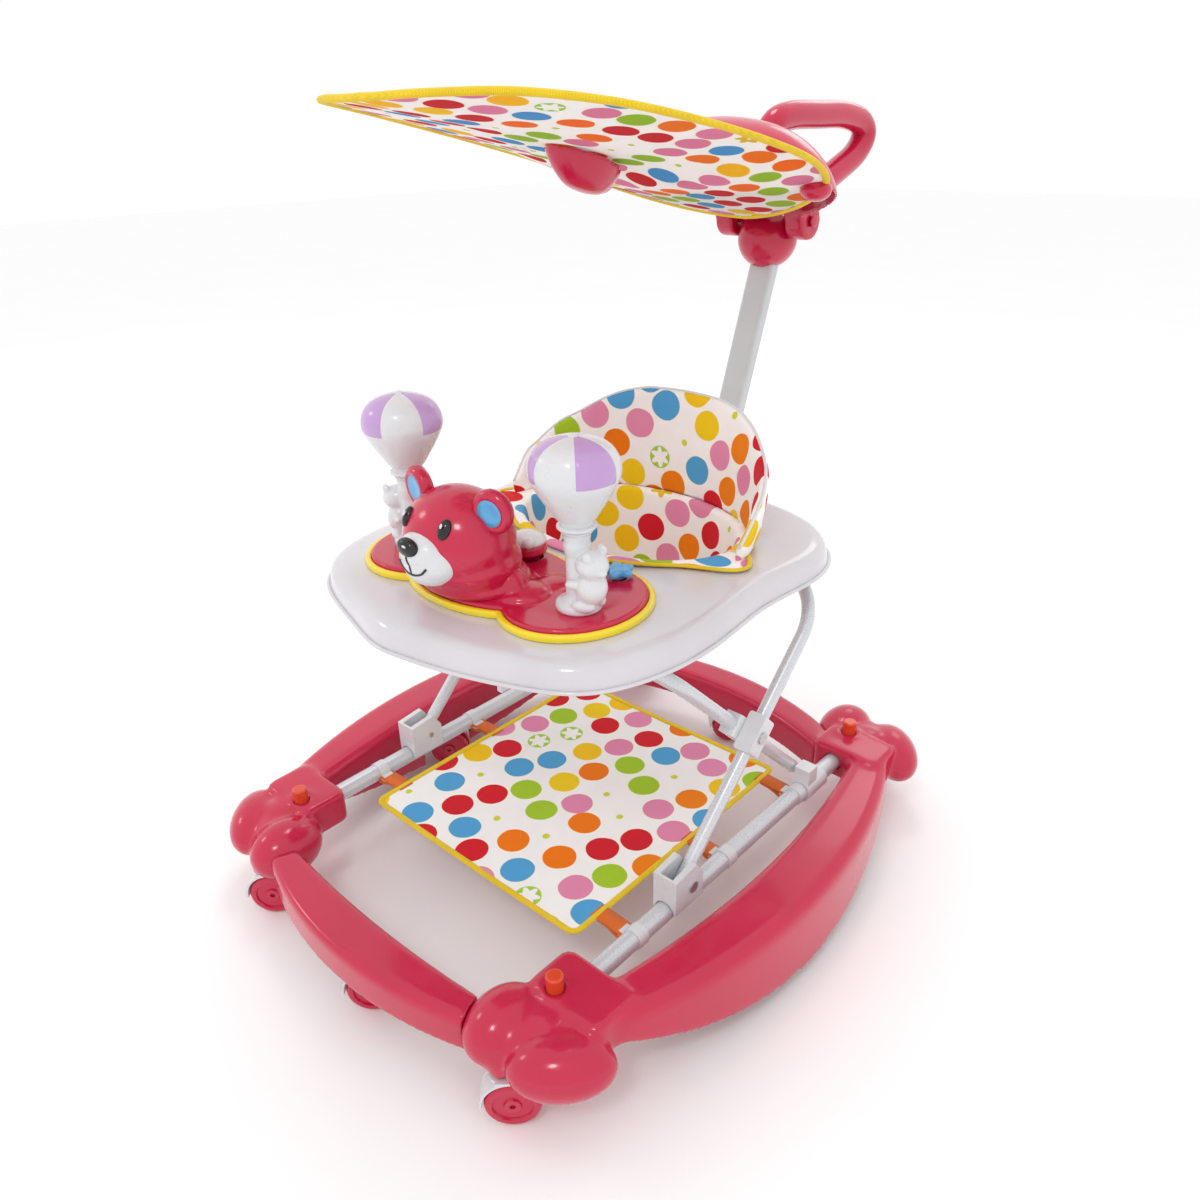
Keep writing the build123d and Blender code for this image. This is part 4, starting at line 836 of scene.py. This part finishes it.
def build_seat():
    columns, levels = 121, 26
    start, end = math.radians(2), math.radians(178)
    rows, uvs = [], []
    for i in range(columns):
        a = start + (end - start) * i / (columns - 1)
        row, line = [], []
        seam = min(abs(a - math.radians(48)), abs(a - math.radians(132)))
        pull = math.exp(-(seam / 0.035) ** 2)
        ends = min(i, columns - 1 - i) / 5.0
        swell = 1 - 0.55 * pull
        if ends < 1:
            swell *= math.sqrt(max(1 - (1 - ends) ** 2, 0.02))
        for k in range(levels * 2):
            inner = k < levels
            s = k / (levels - 1) if inner else (2 * levels - 1 - k) / (levels - 1)
            rx, ry = back_radii(500)
            top = back_top(60 + ry * math.sin(a))
            z = 433 + (top - 433) * s
            rx, ry = back_radii(z)
            crown = (1 - abs(2 * s - 1) ** 4) ** 0.6 if 0 < s < 1 else 0.0
            thick = (1.2 + 4.8 * crown) * swell + 0.5
            mid = 4.8
            wrinkle = 1.5 * noise.noise(Vector((a * 5, z / 26, 1.7)))
            wrinkle += 0.8 * noise.noise(Vector((a * 14, z / 11, 5.1)))
            face = 1 if inner else -1
            off = -(mid + face * thick) + face * wrinkle * crown * 0.8
            bulge = -4.0 * pull if inner else 0.0
            x = (rx + off + bulge) * math.cos(a)
            y = 60 + (ry + off + bulge) * math.sin(a)
            row.append(P(x, y, z))
            line.append((a * 0.165, z / 1000))
        rows.append(row)
        uvs.append(line)
    mesh = grid("seat_back_pad", rows, uvs, wrap=True, cap=True)
    pad = place("seat_back_pad", mesh, "tray", "print", replaces=["seat_back"])
    edge = []
    for i in range(0, columns):
        a = start + (end - start) * i / (columns - 1)
        rx, ry = back_radii(500)
        top = back_top(60 + ry * math.sin(a))
        rx, ry = back_radii(top)
        edge.append(P((rx - 4.8) * math.cos(a), 60 + (ry - 4.8) * math.sin(a), top + 0.3))
    place("seat_back_binding", tube("seat_back_binding", edge, 1.9, 8), "tray", "white")

    # sling: hem laid out over the tray, walls down the well, floor with two leg holes
    profile = [(None, 433.6), (1.05, 434.6), (1.0, 433.8), (0.975, 431), (0.962, 424), (0.945, 410),
               (0.925, 392), (0.90, 372), (0.87, 352), (0.83, 334), (0.77, 320), (0.66, 311), (0.50, 307),
               (0.30, 305.5), (0.10, 305)]
    sides = 144
    rows, uvs = [], []
    length = 0.0
    for i, (scale, z) in enumerate(profile):
        if i > 1:
            length += math.hypot((profile[i - 1][0] - scale) * 125, profile[i - 1][1] - z)
        row, line = [], []
        for j in range(sides):
            a = 2 * math.pi * j / sides
            reach = hem_reach(a) if scale is None else scale
            fold = 1 + 0.012 * math.sin(9 * a) * min(1.0, max(0.0, (424 - z) / 60)) * (1 if z > 312 else 0.3)
            x = 150 * reach * math.cos(a) * fold
            y = 85 + 100 * reach * math.sin(a) * fold
            sag = 1.6 * noise.noise(Vector((math.cos(a) * 3, math.sin(a) * 3, z / 24))) if z < 424 else 0
            x += sag * math.cos(a) - (1.5 if z < 424 else 0) * math.cos(a)
            y += sag * math.sin(a)
            row.append(P(x, y, z))
            line.append((a * 0.125, ((reach - 1.05) * 0.12 if scale is None else -length / 1000)))
        rows.append(row)
        uvs.append(line)
    mesh = grid("seat_sling", rows, uvs, wrap=True)
    made = bmesh.new()
    made.from_mesh(mesh)
    holes = [Vector((P(s * 44, 63, 305).x, P(0, 63, 0).y)) for s in (-1, 1)]
    doomed = []
    for face in made.faces:
        c = face.calc_center_median()
        if c.z < 0.33 and min(math.hypot(c.x - h.x, c.y - h.y) for h in holes) < 0.033:
            doomed.append(face)
    bmesh.ops.delete(made, geom=doomed, context="FACES")
    made.to_mesh(mesh)
    made.free()
    obj = loose(mesh)
    sub = obj.modifiers.new("sub", "SUBSURF")
    sub.levels = sub.render_levels = 1
    thick = obj.modifiers.new("thick", "SOLIDIFY")
    thick.thickness = 0.0022
    thick.offset = -1
    mesh = smooth(bake(obj, "seat_sling"))
    sling = place("seat_sling", mesh, "tray", "print", replaces=["seat_bag"])
    hems = []
    for s in (-1, 1):
        ring = [P(s * 44 + 34 * math.cos(t), 63 + 34 * math.sin(t), 306.5 + 3 * abs(math.cos(t)) ** 3)
                for t in [2 * math.pi * k / 60 for k in range(60)]]
        hems.append(tube("leg_hem", ring, 3.2, 10, True))
    for first, last in ((-78, 14), (166, 258)):
        path = []
        for k in range(61):
            a = math.radians(first + (last - first) * k / 60)
            reach = hem_reach(a)
            path.append(P(150 * reach * math.cos(a), 85 + 100 * reach * math.sin(a), 434.0))
        hems.append(tube("rim_hem", path, 2.8, 10, False, 0.7))
    hem = place("seat_sling_binding", smooth(join(*hems)), "tray", "binding")


# ---------------------------------------------------------------- canopy
def canopy_z(x, y, width=None):
    """Stretched sheet: a trough along its slope, drawn tight towards the front."""
    z = 816 - 0.235 * (y - 50) + 0.000835 * x * x
    if width:
        z += 12 * min(1.0, max(0.0, (130 - y) / 45), max(0.0, (y + 232) / 160)) * (1 - (x / width) ** 2)
    return z


CANOPY = [(0, -230), (60, -220), (118, -182), (156, -114), (177, -30), (187.5, 60), (186.5, 145),
          (163.5, 211), (119, 254.5), (60, 288), (0, 310)]


def build_canopy():
    half = catmull([Vector((x, y, 0)) for x, y in CANOPY], 14)
    outline = [(max(p.x, 0.0), p.y) for p in half]
    columns = 61
    rows, uvs = [], []
    for w, y in outline:
        w = max(w, 0.6)
        row, line = [], []
        for j in range(columns):
            u = -1 + 2 * j / (columns - 1)
            x = u * w
            fade = (1 - u * u)
            dip = 2.2 * noise.noise(Vector((x / 90, y / 130, 0.4))) * fade
            row.append(P(x, y, canopy_z(x, y, max(w, 20.0)) + 2.0 + dip))
            line.append((x / 1000, y / 1000))
        rows.append(row)
        uvs.append(line)
    mesh = grid("canopy_cloth", rows, uvs)
    obj = loose(mesh)
    thick = obj.modifiers.new("thick", "SOLIDIFY")
    thick.thickness = 0.0012
    thick.offset = 0
    mesh = smooth(bake(obj, "canopy_cloth"))
    cloth = place("canopy_cloth", mesh, "canopy", "canopy_print", replaces=["canopy_fabric"])
    loop = outline + [(-x, y) for x, y in reversed(outline[1:-1])]
    path = [P(x, y, canopy_z(x, y) + 2.0) for x, y in loop]
    hem = place("canopy_binding", tube("canopy_binding", path, 4.0, 12, True, 0.8), "canopy", "binding")
    raw = node_mesh("canopy_hood")
    leaf_middle = P(0, 30, 0).y
    for vertex in raw.vertices:
        if vertex.co.y < (110 - MIDDLE_Y) / 1000 and abs(vertex.co.x) < 0.045:
            depth = canopy_z(0, vertex.co.y * 1000 + MIDDLE_Y) / 1000 - vertex.co.z
            vertex.co.z += 0.011 - min(1.0, max(0.0, depth / 0.016)) * 0.015
            vertex.co.y = leaf_middle + (vertex.co.y - leaf_middle) * 0.82
        elif abs(vertex.co.x) > 0.064:
            vertex.co.x = math.copysign(0.064 + (abs(vertex.co.x) - 0.064) * 0.86, vertex.co.x)
    clips = []
    for side in (-1, 1):
        spot = (side * 152, 212, canopy_z(152, 212) - 2)
        clips.append(ball(spot, (17, 20, 12), turn_about("Z", side * 35)))
    hood = soften(join(raw, *clips), 0.0024, 10, "canopy_hood_skin", 0.5)
    place("canopy_hood_skin", hood, "canopy", "magenta", replaces=["canopy_hood"])


def build_handle():
    hub = soften(node_mesh("handle_hub"), 0.0018, 10, "handle_hub_skin", 0.5)
    place("handle_hub_skin", hub, "tray", "magenta", replaces=["handle_hub"])
    run = [(366, 744), (392, 754), (433, 767), (482, 785), (522, 799), (562, 815), (583, 832), (585, 846),
           (567, 858), (524, 865), (468, 865.6), (400, 865), (362, 856), (352, 830), (354, 790), (356, 755)]
    path = [P(0, p.y, p.z) for p in catmull([Vector((0, y, z)) for y, z in run], 10)]
    loop = tube("push_handle_skin", path, 16.5, 24, up=Vector((1, 0, 0)))
    place("push_handle_skin", loop, "tray", "magenta", replaces=["push_handle"])


# ---------------------------------------------------------------- stage
def build_stage():
    floor = bpy.data.meshes.new("floor")
    size = 12.0
    corners = [(x * size, y * size, -0.0006) for x, y in ((-1, -1), (1, -1), (1, 1), (-1, 1))]
    floor.from_pydata(corners, [], [(0, 1, 2, 3)])
    ground = bpy.data.objects.new("floor", floor)
    scene.collection.objects.link(ground)
    n = Nodes("floor_paint", (0.975, 0.975, 0.975), 0.9)
    paint = n.ramp(n.noise(3.0, 2.0), [(0.3, (0.97, 0.97, 0.97)), (0.7, (0.98, 0.98, 0.98))])
    n.link(paint, n.shader.inputs["Base Color"])
    floor.materials.append(n.mat)
    world = bpy.data.worlds.new("studio")
    scene.world = world
    world.use_nodes = True
    world.node_tree.nodes["Background"].inputs[0].default_value = (1, 1, 1, 1)
    world.node_tree.nodes["Background"].inputs[1].default_value = 1.0
    lights = [
        ("key", (0.9, -1.9, 2.6), 0.45, 10),
        ("fill", (-2.4, -1.4, 1.9), 0.5, 4),
        ("top", (-0.4, 0.6, 2.8), 0.7, 9),
        ("back", (-0.6, 2.6, 2.0), 0.8, 3),
    ]
    for name, place_at, size, power in lights:
        data = bpy.data.lights.new(name, "AREA")
        data.shape = "SQUARE"
        data.size = size
        data.energy = power
        lamp = bpy.data.objects.new(name, data)
        lamp.location = place_at
        aim = Vector((0, 0, 0.35)) - Vector(place_at)
        lamp.rotation_euler = aim.to_track_quat("-Z", "Y").to_euler()
        scene.collection.objects.link(lamp)
    azimuth, pitch, roll = (math.radians(v) for v in (42.707, 26.409, -1.438))
    right = Vector((math.cos(azimuth), math.sin(azimuth), 0))
    level = Vector((-math.sin(azimuth), math.cos(azimuth), 0))
    ahead = level * math.cos(pitch) - Vector((0, 0, math.sin(pitch)))
    up = level * math.sin(pitch) + Vector((0, 0, math.cos(pitch)))
    across = right * math.cos(roll) + up * math.sin(roll)
    top = -right * math.sin(roll) + up * math.cos(roll)
    data = bpy.data.cameras.new("camera")
    data.sensor_width = 36
    data.lens = 28.69
    data.clip_start = 0.05
    camera = bpy.data.objects.new("camera", data)
    place_at = P(705.2, -730.7, 860.0)
    turn = Matrix((across, top, -ahead)).transposed().to_4x4()
    camera.matrix_world = Matrix.Translation(place_at) @ turn
    scene.collection.objects.link(camera)
    scene.camera = camera
    scene.view_settings.view_transform = "Standard"
    scene.view_settings.look = "None"


build_base()
build_mat()
build_tray()
build_head()
build_balloons()
build_buttons()
build_seat()
build_canopy()
build_handle()
build_stage()
